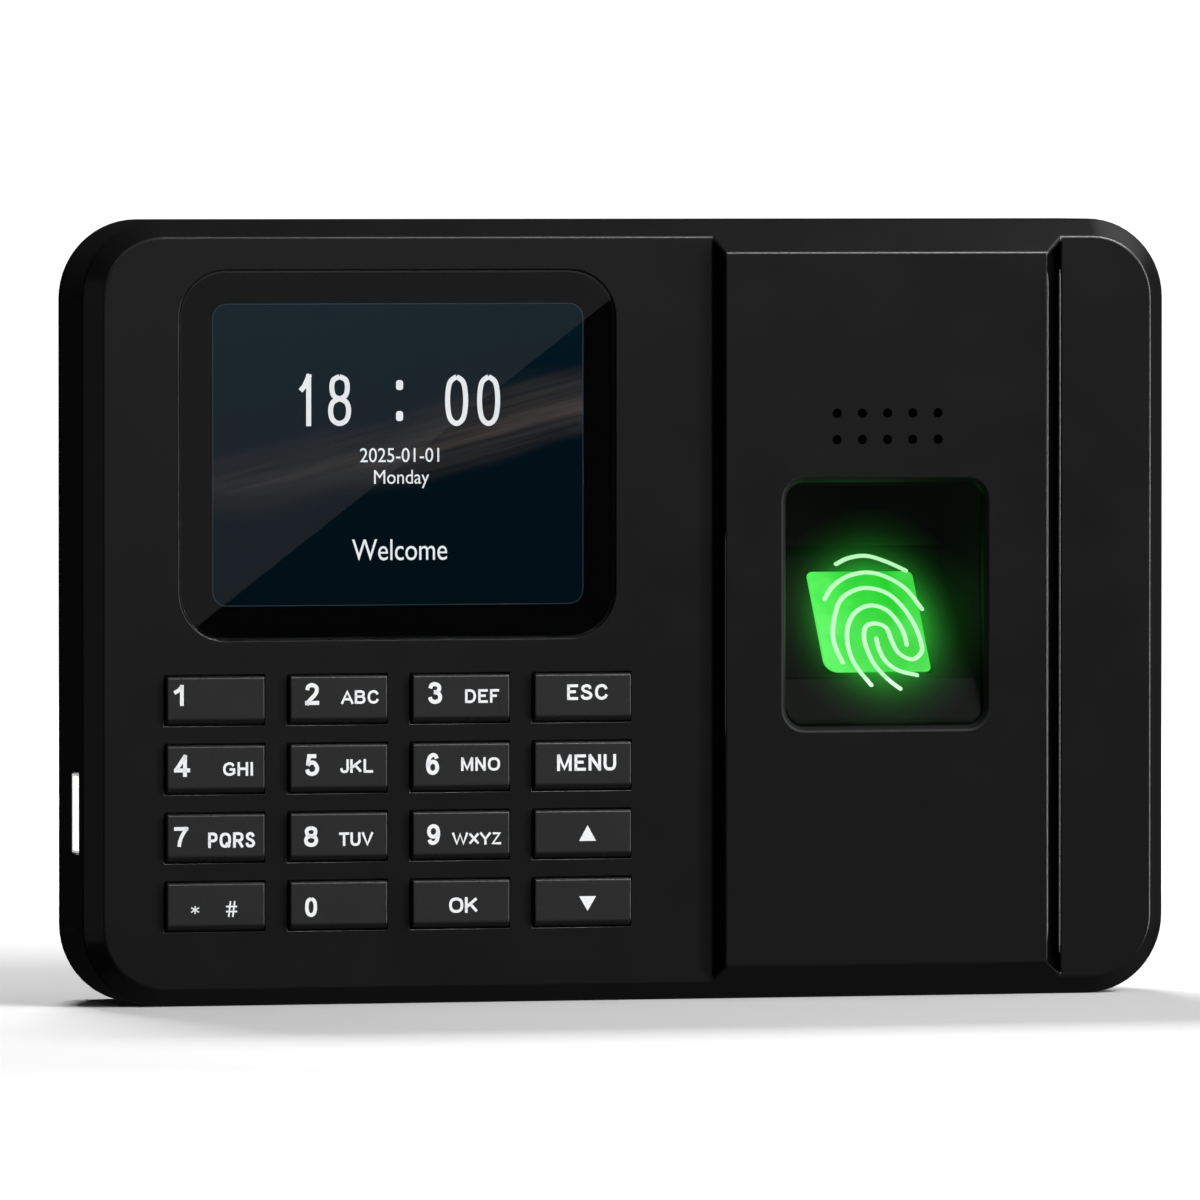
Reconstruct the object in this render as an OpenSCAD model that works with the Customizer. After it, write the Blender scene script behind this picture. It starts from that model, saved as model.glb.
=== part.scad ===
// Fingerprint terminal for a wall or a desk, with a colour screen, a keypad and a finger reader.
// The front faces -Y and +Z is up. The origin is the centre of the footprint, on the surface
// that the terminal stands on. Lengths are in millimetres.
// Places on the front are given as [x, z], and depths are counted into the body from the face
// that carries the screen and the keys.

/* [Housing] */
// Overall width
body_w = 187; // [187:1:200]
// Overall height
body_h = 130; // [130:0.5:136]
// Depth from the front face to the back
body_d = 33; // [32.5:0.5:40]
// Corner radius seen from the front
corner_r = 13.2; // [12.8:0.2:14]
// Wall thickness
wall = 2.4; // [2.2:0.1:2.4]
// Chamfer of the front edge, measured across the front
chamfer_in = 2.95; // [2.5:0.05:3.2]
// Chamfer of the front edge, measured into the depth
chamfer_d = 2.7; // [2.5:0.1:3]
// Depth at which the front and rear shells meet
split_d = 17.4; // [17:0.2:18]
// How far the rear shell draws in towards the back
taper_in = 5; // [4.5:0.1:5.2]

/* [Raised panel] */
// Height of the reader panel above the front face
panel_h = 2.4; // [2:0.1:2.6]
// Left edge of the panel's left groove
panel_left = 14.06; // [13.8:0.02:14.2]
// Right edge of the panel's right groove
panel_right = 74.76; // [74.2:0.02:75.2]
// Width of the left groove
groove_left = 1.5; // [1.2:0.1:1.6]
// Width of the right groove
groove_right = 3.06; // [2.6:0.02:3.1]
// Depth of both grooves below the front face
groove_d = 1.8; // [1:0.1:1.9]

/* [Screen] */
// Centre of the screen lens across the front
lens_x = -40.2; // [-40.6:0.1:-40]
// Height of the lens's centre
lens_z = 91.05; // [91:0.05:91.4]
// Width of the lens
lens_w = 74.6; // [73:0.2:76]
// Height of the lens
lens_h = 60.9; // [60:0.1:61.4]
// Corner radius of the lens
lens_r = 7.8; // [6:0.2:9]
// Thickness of the lens
lens_t = 1; // [0.8:0.1:1.1]
// Width of the display glass
display_w = 64.9; // [62:0.1:65]
// Height of the display glass
display_h = 51.4; // [49:0.1:51.6]

/* [Keypad] */
// Centre of the top left key across the front
key_x = -71.7; // [-71.9:0.1:-71.5]
// Height of the top left key's centre
key_z = 50.65; // [50.4:0.05:50.8]
// Distance between keys across
key_pitch_x = 21; // [20.6:0.1:21.2]
// Distance between keys downwards
key_pitch_z = 11.35; // [11.2:0.05:11.4]
// Width of a key's opening
key_hole_w = 17.2; // [16:0.1:17.4]
// Height of a key's opening
key_hole_h = 8.45; // [8:0.05:8.6]
// Gap between a key and its opening
key_gap = 0.3; // [0.2:0.05:0.4]
// Height of a key above the front face
key_rise = 1; // [0.6:0.1:1.2]
// Travel of a key
key_travel = 0.8; // [0.4:0.1:0.8]

/* [Finger reader] */
// Centre of the finger recess across the front
recess_x = 43.5; // [43.4:0.05:43.6]
// Height of the recess's centre
recess_z = 65.75; // [65.7:0.05:65.8]
// Width of the recess at its rim
recess_w = 36; // [35.8:0.1:36.4]
// Height of the recess at its rim
recess_h = 42.2; // [42:0.1:42.4]
// Slope of the reader's face from upright
reader_tilt = 34.5; // [34:0.5:35]
// Width of the reader's window
window_w = 18.75; // [17:0.05:19]
// Height of the window along its slope
window_h = 20.2; // [18:0.1:20.4]
// Centre of the window across the front
window_x = 43.4; // [43.2:0.1:43.6]
// Height of the window's centre
window_z = 62.6; // [62.4:0.1:62.8]
// Depth of the window's centre
window_d = 7.3; // [7.2:0.1:7.4]

/* [Speaker] */
// Centre of the speaker's holes across the front
grille_x = 43.7; // [43:0.1:44]
// Height of the centre of the holes
grille_z = 95.4; // [95.4:0.1:96]
// Distance between the holes
grille_pitch = 4.4; // [3.6:0.2:4.6]
// Diameter of a hole
grille_hole = 1.6; // [1:0.1:2]
// Diameter of the speaker
speaker_dia = 26; // [25:0.5:26]

/* [Connectors and wall plate] */
// Height of the USB socket's centre
usb_z = 31.9; // [29:0.1:34]
// Depth of the USB socket's centre
usb_d = 8.3; // [8.2:0.1:9]
// Width of the wall plate
plate_w = 100; // [92:1:120]
// Height of the wall plate
plate_h = 76; // [74:1:76]
// Thickness of the wall plate
plate_t = 1.2; // [1:0.1:1.4]
// Distance between the wall plate's screw holes across
plate_holes_w = 80; // [74:1:82]
// Distance between the wall plate's screw holes upwards
plate_holes_h = 50; // [44:1:54]
// Diameter of the wall plate's screw holes
plate_hole_dia = 4.5; // [4:0.1:5]

/* [Hidden] */
$fn = 48;
front_y = (panel_h - body_d) / 2;
body_c = [0, body_h / 2];
panel_x = [panel_left, panel_right];
lens_c = [lens_x, lens_z];
lens_size = [lens_w, lens_h];
display_size = [display_w, display_h];
key_first = [key_x, key_z];
key_pitch = [key_pitch_x, key_pitch_z];
key_hole = [key_hole_w, key_hole_h];
recess_c = [recess_x, recess_z];
recess_size = [recess_w, recess_h];
window_c = [window_x, window_z];
window_size = [window_w, window_h];
grille_c = [grille_x, grille_z];
plate_size = [plate_w, plate_h];
plate_holes = [plate_holes_w, plate_holes_h];
bevel = chamfer_in / chamfer_d;
panel_inset = chamfer_in + panel_h * bevel;
panel_x0 = panel_x[0] + groove_left;
panel_x1 = panel_x[1] - groove_right;
back_wall = 2.2;
inner_back_d = body_d - plate_t - back_wall;
taper_d = split_d + 1.5;

// Stack behind the front face
pocket_d = lens_t + 0.15;
lcd_d = [pocket_d + 0.15, 2.7, 4.35, 4.6];
board_d = [5, 6.2];
mat_t = 0.6;
flange_t = 0.8;
flange_d = wall + 0.05;
pad_t = 0.05;

key_names = [
    "key_1", "key_2", "key_3", "key_esc",
    "key_4", "key_5", "key_6", "key_menu",
    "key_7", "key_8", "key_9", "key_up",
    "key_star_hash", "key_0", "key_ok", "key_down"
];
key_places = [
    for (row = [0:3], column = [0:3])
        [key_first.x + column * key_pitch.x, key_first.y - row * key_pitch.y]
];

housing_screw_places = [for (side = [-1, 1]) each [[side * 84.5, 11], [side * 84, body_h - 11.5]]];
board_screw_places = [[-85.5, 57], [-85.5, 98], [7.5, 11], [7.5, 57], [7.5, 118]];
reader_screw_places = [for (x = [21.9, 65.1], z = [56, 78]) [x, z]];
speaker_c = [grille_c.x, grille_c.y + 6.2];
plate_c = [0, 60];
bay_c = [1, 61];
bay_size = [50, 18];
bay_floor_d = 20.4;
jack_d = 24.9;
lock_d = 27.9;
hook_x = 28;

// Colours of the pieces
shell_black = "#1c1d1f";
key_black = "#2f3032";
board_green = "#1d5a34";
steel = "#b9bcc0";
tin = "#d5d6d8";
chip_black = "#151515";
ivory = "#e8e4d6";

// ---- Drawing helpers ----

// A drawing in [x, z], made solid between two depths
module slab(d0, d1) {
    translate([0, front_y + d1, 0]) rotate([90, 0, 0]) linear_extrude(d1 - d0) children();
}

// A drawing in [depth, z], made solid between two places along the width
module beam(x0, x1) {
    translate([x0, front_y, 0]) rotate([90, 0, 90]) linear_extrude(x1 - x0) children();
}

// A drawing in [x, depth], made solid between two heights
module column(z0, z1) {
    translate([0, front_y, z0]) linear_extrude(z1 - z0) children();
}

// A round peg between two depths
module peg(place, r, d0, d1) {
    translate([place.x, front_y + d1, place.y]) rotate([90, 0, 0]) cylinder(r = r, h = d1 - d0);
}

// A block between two depths
module block(place, size, d0, d1) {
    slab(d0, d1) translate(place) square(size, center = true);
}

module rounded_rect(place, size, r) {
    translate(place) {
        square([size.x - 2 * r, size.y], center = true);
        square([size.x, size.y - 2 * r], center = true);
        for (sx = [-1, 1], sz = [-1, 1])
            translate([sx * (size.x / 2 - r), sz * (size.y / 2 - r)]) circle(r);
    }
}

// The outline of the front shell's inside, drawn in by a gap
module inner_outline(gap) {
    inset = wall + gap;
    rounded_rect(body_c, [body_w - 2 * inset, body_h - 2 * inset], corner_r - inset);
}

// A rounded rectangle that narrows on all sides between two depths
module tapered_rect(place, size, r, inset, wide_d, narrow_d) {
    x0 = place.x - size.x / 2;
    x1 = place.x + size.x / 2;
    z0 = place.y - size.y / 2;
    z1 = place.y + size.y / 2;
    far_r = wide_d > narrow_d ? r : r - inset;
    near_r = wide_d > narrow_d ? r - inset : r;
    beam(x0 + r, x1 - r)
        polygon([[wide_d, z0], [narrow_d, z0 + inset], [narrow_d, z1 - inset], [wide_d, z1]]);
    column(z0 + r, z1 - r)
        polygon([[x0, wide_d], [x0 + inset, narrow_d], [x1 - inset, narrow_d], [x1, wide_d]]);
    for (x = [x0 + r, x1 - r], z = [z0 + r, z1 - r])
        translate([x, front_y + max(wide_d, narrow_d), z])
            rotate([90, 0, 0]) cylinder(h = abs(wide_d - narrow_d), r1 = far_r, r2 = near_r);
}

// The reader's own axes: x across, y up the slope, z straight out of the window
module on_slope() {
    translate([window_c.x, front_y + window_d, window_c.y])
        rotate([90 - reader_tilt, 0, 0]) children();
}

// A round wire through points given as [x, depth, z]
module wire(points, r) {
    for (i = [0:len(points) - 2])
        hull() for (end = [i, i + 1])
            translate(points[end] + [0, front_y, 0]) sphere(r, $fn = 8);
}

// A pan head screw that points towards the front, with its head resting at head_d
module pan_screw(place, head_d, length, r, head_r) {
    peg(place, r, head_d - length, head_d + 0.1);
    peg(place, head_r, head_d, head_d + 0.7 * head_r);
}

// ---- Shells ----

module front_form() {
    slab(chamfer_d, split_d) rounded_rect(body_c, [body_w, body_h], corner_r);
    tapered_rect(body_c, [body_w, body_h], corner_r, chamfer_in, chamfer_d, 0);
    intersection() {
        beam(panel_x[0] - 1, panel_x[1] + 1) polygon([
            [chamfer_d, 0], [-panel_h, panel_inset],
            [-panel_h, body_h - panel_inset], [chamfer_d, body_h]
        ]);
        column(0, body_h) polygon([
            [panel_x[0], chamfer_d], [panel_x[0], 0], [panel_x0, -panel_h],
            [panel_x1, -panel_h], [panel_x[1], 0], [panel_x[1], chamfer_d]
        ]);
    }
}

// The two dark grooves, with ends cut in line with the panel's corners
module panel_grooves() {
    slab(-panel_h - 1, groove_d) {
        polygon([
            [panel_x[0], body_h - 3.8], [panel_x0, body_h - 6.1],
            [panel_x0, 5.5], [panel_x[0], 3.6]
        ]);
        polygon([
            [panel_x1, body_h - 6.1], [panel_x[1], body_h - 3.8],
            [panel_x[1], 3.6], [panel_x1, 5.5]
        ]);
    }
}

module front_hollow() {
    slab(wall, split_d + 1) inner_outline(0);
    column(8, body_h - 8) polygon([
        [panel_x0 + wall, 0], [panel_x1 - wall, 0],
        [panel_x1 - wall, wall + 1], [panel_x0 + wall, wall + 1]
    ]);
}

module front_supports() {
    // Ribs behind the grooves
    for (x = [panel_x[0] + groove_left / 2, panel_x[1] - groove_right / 2])
        column(wall, body_h - wall) translate([x, (wall + 4) / 2]) square([5.4, 4 - wall], center = true);
    // Frame around the display
    slab(wall - 0.1, 4.6) difference() {
        translate(lens_c) square(display_size + [8.4, 9], center = true);
        translate(lens_c) square(display_size + [6.4, 7], center = true);
    }
    // Ring that holds the speaker
    slab(-0.1, 2.6) translate(speaker_c) difference() {
        circle(speaker_dia / 2 + 1);
        circle(speaker_dia / 2 + 0.3);
    }
    for (place = housing_screw_places) peg(place, 3.2, wall - 0.1, split_d + 0.8);
    for (place = board_screw_places) peg(place, 2.8, wall - 0.1, board_d[0]);
    for (place = reader_screw_places) peg(place, 2.2, -0.1, 3);
}

module front_openings() {
    slab(-1, pocket_d) rounded_rect(lens_c, lens_size + [0.4, 0.4], lens_r + 0.2);
    slab(0, wall + 1) rounded_rect(lens_c, display_size + [0.6, 0.6], 0.9);
    for (place = key_places) block(place, key_hole, -1, wall + 1);
    for (column = [-2:2], row = [-0.5, 0.5])
        peg(grille_c + grille_pitch * [column, row], grille_hole / 2, -panel_h - 1, 1);
    // Finger recess with a bevelled rim
    tapered_rect(recess_c, recess_size, 3.8, 0.8, -panel_h, 1 - panel_h);
    slab(-panel_h, wall + 1) rounded_rect(recess_c, recess_size - [1.6, 1.6], 3);
    beam(-body_w / 2 - 1, -body_w / 2 + wall + 1)
        translate([usb_d, usb_z]) square([5.6, 13.4], center = true);
    for (place = housing_screw_places) peg(place, 1.3, wall + 2, split_d + 2);
    for (place = board_screw_places) peg(place, 1.05, wall - 0.9, board_d[0] + 1);
    for (place = reader_screw_places) peg(place, 0.85, -1.2, 4);
}

module front_shell() {
    color(shell_black) difference() {
        union() {
            difference() {
                front_form();
                panel_grooves();
                front_hollow();
            }
            front_supports();
        }
        front_openings();
    }
}

// The rear shell draws in on all sides towards the back
module rear_form(shrink, back) {
    size = [body_w - 2 * shrink, body_h - 2 * shrink];
    intersection() {
        slab(split_d, back) rounded_rect(body_c, size, corner_r - shrink);
        union() {
            slab(split_d, taper_d) translate([-body_w / 2, 0]) square([body_w, body_h]);
            tapered_rect(body_c, size, corner_r - shrink, taper_in, taper_d, body_d);
        }
    }
}

module rear_posts() {
    // Tubes that guide the housing screws
    intersection() {
        rear_form(0, body_d);
        union() {
            for (place = housing_screw_places) peg(place, 4.2, split_d + 0.9, body_d);
            // Tube for the locking screw
            translate([0, front_y + lock_d, 0]) cylinder(r = 4.4, h = 14);
        }
    }
    // Walls of the cable bay
    block(bay_c, bay_size + [3.2, 3.2], bay_floor_d - 1.6, inner_back_d + 0.1);
    // Ribs that grip the power socket
    for (side = [-1, 1])
        block([-32.8, bay_c.y + side * 5.3], [13, 1.2], 22, inner_back_d + 0.1);
}

module rear_shell() {
    color(shell_black) difference() {
        union() {
            difference() {
                rear_form(0, body_d);
                rear_form(back_wall, inner_back_d);
            }
            rear_posts();
            // Lip that locates the front shell, and the ledge that joins it to the wall
            slab(split_d - 1.5, split_d + 1) difference() {
                inner_outline(0.2);
                inner_outline(1.2);
            }
            slab(split_d + 0.2, split_d + 1.2) difference() {
                inner_outline(-0.4);
                inner_outline(1.2);
            }
        }
        // Seat of the wall plate
        block(plate_c, plate_size + [0.6, 0.6], body_d - plate_t, body_d + 1);
        // Cable bay and the mouth of the power socket
        block(bay_c, bay_size, bay_floor_d, body_d + 1);
        translate([bay_c.x - bay_size.x / 2 - 3, front_y + jack_d, bay_c.y])
            rotate([0, 90, 0]) cylinder(r = 4, h = 4);
        // Slots for the hooks and for the locking lip
        for (side = [-1, 1])
            block([side * hook_x, 82.3], [9, 6.6], inner_back_d - 1, body_d);
        block([0, 20.6], [17, 6.4], inner_back_d - 1, body_d);
        for (place = housing_screw_places) {
            peg(place, 1.5, split_d, body_d);
            peg(place, 2.5, 20, body_d + 1);
            peg(place, 3.4, split_d - 2, split_d + 0.9);
        }
        translate([0, front_y + lock_d, -1]) cylinder(r = 3.2, h = 13);
        translate([0, front_y + lock_d, 0]) cylinder(r = 1.7, h = 15);
    }
}

// ---- Screen ----

module screen_lens() {
    color("#0b0e12") slab(0, lens_t) rounded_rect(lens_c, lens_size, lens_r);
}

module lens_adhesive() {
    color("#222222") slab(lens_t, pocket_d) difference() {
        rounded_rect(lens_c, lens_size - [0.8, 0.8], lens_r - 0.4);
        translate(lens_c) square(display_size + [2.6, 2.6], center = true);
    }
}

module lcd_panel() {
    color("#16242c") block(lens_c, display_size, lcd_d[0], lcd_d[1]);
}

module lcd_backlight() {
    color("white") block(lens_c, display_size + [3.6, 3.9], lcd_d[1] + 0.05, lcd_d[2] - 0.05);
}

module lcd_frame() {
    color(steel) difference() {
        block(lens_c, display_size + [5, 5.2], wall + 0.05, lcd_d[3]);
        block(lens_c, display_size + [3.8, 4.1], wall - 0.1, lcd_d[2]);
    }
}

module lcd_ribbon() {
    color("#c98a2b") block([lens_c.x, 68], [20, 19], lcd_d[3] + 0.1, lcd_d[3] + 0.25);
}

module lcd_connector() {
    color(ivory) difference() {
        block([lens_c.x, 58.8], [24, 3.6], 3.6, board_d[0]);
        block([lens_c.x, 60], [20.6, 4], lcd_d[3] + 0.02, lcd_d[3] + 0.33);
    }
}

// ---- Main board ----

module main_board() {
    color(board_green) difference() {
        slab(board_d[0], board_d[1]) rounded_rect([-39, 65], [100, 114], 3);
        for (place = housing_screw_places) peg(place, 4.2, 4, 8);
        for (place = board_screw_places) peg(place, 1.4, 4, 8);
        block([-89, usb_z], [22, 15], 4, 8);
    }
}

module processor() {
    color(chip_black) block([-45, 82], [20, 20], board_d[1] + 0.2, board_d[1] + 1.6);
    color(tin) difference() {
        block([-45, 82], [22.4, 22.4], board_d[1], board_d[1] + 0.2);
        block([-45, 82], [18, 18], board_d[1] - 1, board_d[1] + 0.2);
    }
}

module memory_chips() {
    color(chip_black) for (place = [[-14, 90], [-14, 72], [-70, 70]])
        block(place, [8, 12], board_d[1], board_d[1] + 1.2);
}

module capacitors() {
    color("#30343c") for (place = [[-60, 36], [-70, 50], [-28, 40]])
        peg(place, 3.15, board_d[1], board_d[1] + 7.7);
}

module small_parts() {
    color("#8a7a5c") for (column = [0:7], row = [0:2])
        block([-66 + 6 * column, 104 + 5 * row], [2, 1.25], board_d[1], board_d[1] + 0.6);
}

module coin_cell() {
    color(tin) peg([-8, 28], 10, board_d[1] + 1, board_d[1] + 4.2);
}

module coin_holder() {
    color(chip_black) difference() {
        block([-8, 28], [24, 22], board_d[1], board_d[1] + 3);
        peg([-8, 28], 10.15, board_d[1] + 1, board_d[1] + 5);
    }
}

// Sockets for the sensor, the speaker and the power lead
module board_sockets() {
    color(ivory) {
        block([5, 45], [8, 6], board_d[1], board_d[1] + 3);
        block([5, 100], [8, 5], board_d[1], board_d[1] + 3);
        block([-48, 55], [8, 5], board_d[1], board_d[1] + 3);
    }
}

// ---- Keypad ----

module keypad_mat() {
    mat_c = key_first + [1.5 * key_pitch.x, -1.5 * key_pitch.y];
    color("#4a4d52") difference() {
        block(mat_c, [82.6, 44.8], board_d[0] - mat_t, board_d[0]);
        for (place = key_places) peg(place, 3, 4, 6);
    }
}

// The rubber springs, one soft ring under each key
module key_domes() {
    color("#4a4d52") for (place = key_places) difference() {
        peg(place, 3.8, flange_d + flange_t, board_d[0] - mat_t);
        peg(place, 2.9, flange_d, board_d[0]);
    }
}

module key_contacts() {
    color("#c9a24a") for (place = key_places)
        peg(place, 2.6, board_d[0] - pad_t, board_d[0]);
}

// A key with a bevelled lower edge, its flange under the front wall and its stem
module key(i) {
    place = key_places[i];
    size = key_hole - [2 * key_gap, 2 * key_gap];
    color(key_black) {
        beam(place.x - size.x / 2, place.x + size.x / 2) translate([0, place.y]) polygon([
            [flange_d + 0.1, -size.y / 2], [-0.15, -size.y / 2], [-key_rise, 0.85 - size.y / 2],
            [-key_rise, size.y / 2 - 0.2], [0.2 - key_rise, size.y / 2],
            [flange_d + 0.1, size.y / 2]
        ]);
        block(place, key_hole + [1.2, 1.1], flange_d, flange_d + flange_t);
        peg(place, 2, flange_d, board_d[0] - pad_t - key_travel - 0.03);
    }
}

// ---- Connectors ----

module usb_shell() {
    color(tin) beam(-body_w / 2 + 0.3, -body_w / 2 + 14.3) translate([usb_d, usb_z]) difference() {
        square([5.2, 13], center = true);
        square([4.5, 12.3], center = true);
    }
}

module usb_tongue() {
    color("white") {
        beam(-body_w / 2 + 2, -body_w / 2 + 14) translate([usb_d - 1.2, usb_z])
            square([1.5, 11], center = true);
        beam(-body_w / 2 + 11, -body_w / 2 + 14.2) translate([usb_d, usb_z])
            square([4.3, 12.1], center = true);
    }
}

module dc_jack() {
    face_x = bay_c.x - bay_size.x / 2;
    color(chip_black) translate([face_x, front_y + jack_d, bay_c.y]) rotate([0, -90, 0]) difference() {
        union() {
            cylinder(r = 3.8, h = 3);
            translate([-4.5, -4.3, 1.7]) cube([9, 8.6, 13]);
        }
        translate([0, 0, -1]) cylinder(r = 2.85, h = 10.5);
    }
}

module dc_pin() {
    face_x = bay_c.x - bay_size.x / 2;
    color(tin) translate([face_x - 1, front_y + jack_d, bay_c.y])
        rotate([0, -90, 0]) cylinder(r = 1, h = 8.5);
}

module power_wires() {
    color("#a02020") for (side = [-1, 1])
        wire([
            [-39.5, jack_d, bay_c.y + 2 * side], [-44, jack_d - 2, bay_c.y + 2 * side],
            [-47 + side, 15, 57], [-48 + side, 10, 55]
        ], 0.6);
}

// ---- Speaker ----

module speaker_mesh() {
    color("#303030") slab(0, 0.25) intersection() {
        translate(speaker_c) circle(speaker_dia / 2 - 0.1);
        translate(grille_c) square([26, 9], center = true);
    }
}

module speaker_frame() {
    color(steel) {
        slab(0.3, 3.6) translate(speaker_c) difference() {
            circle(speaker_dia / 2);
            circle(speaker_dia / 2 - 1);
        }
        slab(3.1, 3.6) translate(speaker_c) difference() {
            circle(speaker_dia / 2);
            circle(6);
        }
        block([speaker_c.x - speaker_dia / 2 - 1, speaker_c.y], [3, 5], 3, 3.6);
    }
}

module speaker_cone() {
    outer_r = speaker_dia / 2 - 1.2;
    color("#26262a") translate([speaker_c.x, front_y, speaker_c.y]) rotate([-90, 0, 0])
        rotate_extrude() polygon([
            [0, 1.9], [5, 1.5], [outer_r, 0.9], [outer_r, 1.2], [5, 1.9], [5, 2.8], [0, 2.8]
        ]);
}

module speaker_magnet() {
    color("#3c3c40") peg(speaker_c, 7.5, 3.6, 6.6);
}

module speaker_wires() {
    start_x = speaker_c.x - speaker_dia / 2 - 1.6;
    color("#202020") for (side = [-1, 1])
        wire([
            [start_x, 4.1, speaker_c.y + 1.4 * side], [22, 9, 101 + 1.2 * side],
            [13, 12, 100 + side], [5.5, 9.9, 100 + side]
        ], 0.5);
}

// ---- Finger reader ----

// Free space for the finger: a flat upper wall, the slope and a ramp up to the lower rim
module finger_space() {
    slope = tan(reader_tilt);
    roof_d = 12.6;
    step_z = 75.2;
    ledge_z = 53.5;
    slope_d = [for (z = [step_z, ledge_z]) window_d + (z - window_c.y) * slope];
    intersection() {
        beam(20, 70) polygon([
            [-6, 85.6], [roof_d, 85.6], [roof_d, step_z], [slope_d[0], step_z],
            [slope_d[1], ledge_z], [0.7, ledge_z - 0.3], [-1.4, 47], [-1.55, 45.9], [-6, 45.9]
        ]);
        column(40, 90) polygon([
            [26.4, -6], [60.7, -6], [60.7, -1.4], [58.2, roof_d], [58.2, 20],
            [28.4, 20], [28.4, roof_d], [26.4, -1.4]
        ]);
    }
}

module sensor_well() {
    plate_back = 1.6 / cos(reader_tilt);
    foot_d = 1.8;
    upper_d = window_d + (74.6 - window_z) * tan(reader_tilt) + plate_back;
    foot_z = window_z + (foot_d - plate_back - window_d) / tan(reader_tilt);
    color(shell_black) difference() {
        union() {
            beam(24.4, 62.6) polygon([
                [0.05, 87.1], [14.2, 87.1], [14.2, 77], [upper_d, 77], [upper_d, 74.6],
                [foot_d, foot_z], [foot_d, 44.2], [0.05, 44.2]
            ]);
            // Tongue that fills the lower end of the front shell's opening
            intersection() {
                beam(24.4, 62.6)
                    polygon([[0.1, 53.2], [0.1, 45.4], [-1.6, 45.4], [-1.6, 47], [0, 52]]);
                slab(-2, 1) rounded_rect(recess_c, recess_size - [1.9, 1.9], 2.85);
            }
            // Lugs for the reader's screws
            for (place = reader_screw_places)
                block([place.x < 40 ? 22 : 65, place.y], [5.6, 7], 3.02, 4.6);
        }
        finger_space();
        on_slope() translate([0, 0, -4])
            linear_extrude(6) square(window_size + [0.25, 0.3], center = true);
        for (place = reader_screw_places) peg(place, 1, 2, 6);
    }
}

module sensor_window() {
    half = window_size / 2;
    color("#35d24a") on_slope() rotate([90, 0, 90]) translate([0, 0, -half.x])
        linear_extrude(window_size.x) polygon([
            [-half.y, 0], [half.y, 0], [half.y, -2.5], [4, -8.4], [-half.y, -8.4]
        ]);
}

module sensor_housing() {
    color(chip_black) on_slope() {
        translate([0, 0, -15]) linear_extrude(13.1) difference() {
            square([26, 24.4], center = true);
            square([23.2, 21.8], center = true);
        }
        // Rails that carry the prism
        for (side = [-1, 1])
            translate([side * 10.15, 0, -9]) cube([3.1, 20, 1], center = true);
    }
}

module sensor_lens() {
    color("#202428") on_slope() translate([0, 0, -15]) {
        cylinder(r = 4, h = 1.5);
        cylinder(r = 3, h = 4.6);
    }
}

module sensor_leds() {
    color("#d8f0d8") on_slope() for (sx = [-1, 1], sy = [-1, 1])
        translate([8 * sx, 7.5 * sy, -14.3]) cube([2.8, 3.5, 1.4], center = true);
}

module sensor_board() {
    color(board_green) on_slope() {
        translate([0, 0, -15.6]) cube([26, 24.4, 1.2], center = true);
        translate([-8, -4, -17.2]) cube([6, 4, 2], center = true);
    }
}

module sensor_cable() {
    color("#c8c8c8") wire([
        [31.4, 20, 48.4], [27, 19.5, 46.4], [14, 14.5, 44.6], [5, 10.3, 45]
    ], 0.9);
}

// ---- Fasteners and wall plate ----

module housing_screws() {
    color(steel) for (place = housing_screw_places) pan_screw(place, 20, 9, 1.25, 2.3);
}

module board_screws() {
    color(steel) for (place = board_screw_places) pan_screw(place, board_d[1], 3.8, 1, 2);
}

module sensor_screws() {
    color(steel) for (place = reader_screw_places) pan_screw(place, 4.6, 4.6, 0.8, 1.6);
}

module wall_plate() {
    bottom_z = plate_c.y - plate_size.y / 2;
    front_d = body_d - plate_t;
    color(steel) difference() {
        union() {
            slab(front_d, body_d) rounded_rect(plate_c, plate_size, 3);
            // Lanced hooks that point up inside the rear shell
            for (side = [-1, 1]) {
                block([side * hook_x, 84.8], [8, plate_t], inner_back_d - 0.3 - plate_t, body_d - 0.5);
                block([side * hook_x, 86.8], [8, 5.2], inner_back_d - 0.3 - plate_t, inner_back_d - 0.3);
            }
            // Lip for the locking screw
            block([0, bottom_z + plate_t / 2], [16, plate_t], 24, body_d - 0.5);
        }
        block(bay_c, bay_size + [4, 3], front_d - 1, body_d + 1);
        for (sx = [-0.5, 0.5], sz = [-0.5, 0.5])
            peg(plate_c + [sx * plate_holes.x, sz * plate_holes.y], plate_hole_dia / 2,
                front_d - 1, body_d + 1);
        for (side = [-1, 1])
            block([side * hook_x, 88.4], [8, 6], front_d - 0.1, body_d + 1);
        translate([0, front_y + lock_d, bottom_z - 1]) cylinder(r = 1.5, h = 4);
    }
}

module plate_screw() {
    color(steel) translate([0, front_y + lock_d, 12]) {
        cylinder(r = 1.4, h = 14);
        translate([0, 0, -2]) cylinder(r = 2.75, h = 2);
    }
}

front_shell();
rear_shell();
screen_lens();
lens_adhesive();
lcd_panel();
lcd_backlight();
lcd_frame();
lcd_ribbon();
lcd_connector();
main_board();
processor();
memory_chips();
capacitors();
small_parts();
coin_cell();
coin_holder();
board_sockets();
keypad_mat();
key_domes();
key_contacts();
usb_shell();
usb_tongue();
dc_jack();
dc_pin();
power_wires();
speaker_mesh();
speaker_frame();
speaker_cone();
speaker_magnet();
speaker_wires();
sensor_well();
sensor_window();
sensor_housing();
sensor_lens();
sensor_leds();
sensor_board();
sensor_cable();
housing_screws();
board_screws();
sensor_screws();
wall_plate();
plate_screw();
for (i = [0:len(key_names) - 1]) key(i);
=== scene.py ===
"""Looks of the fingerprint terminal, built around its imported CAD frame. Blender 4.5.

Lengths are in metres and positions come from the frame. Places on the front are [x, z]
pairs, and depth is counted into the body from the face that carries the screen.
"""

import math

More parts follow.
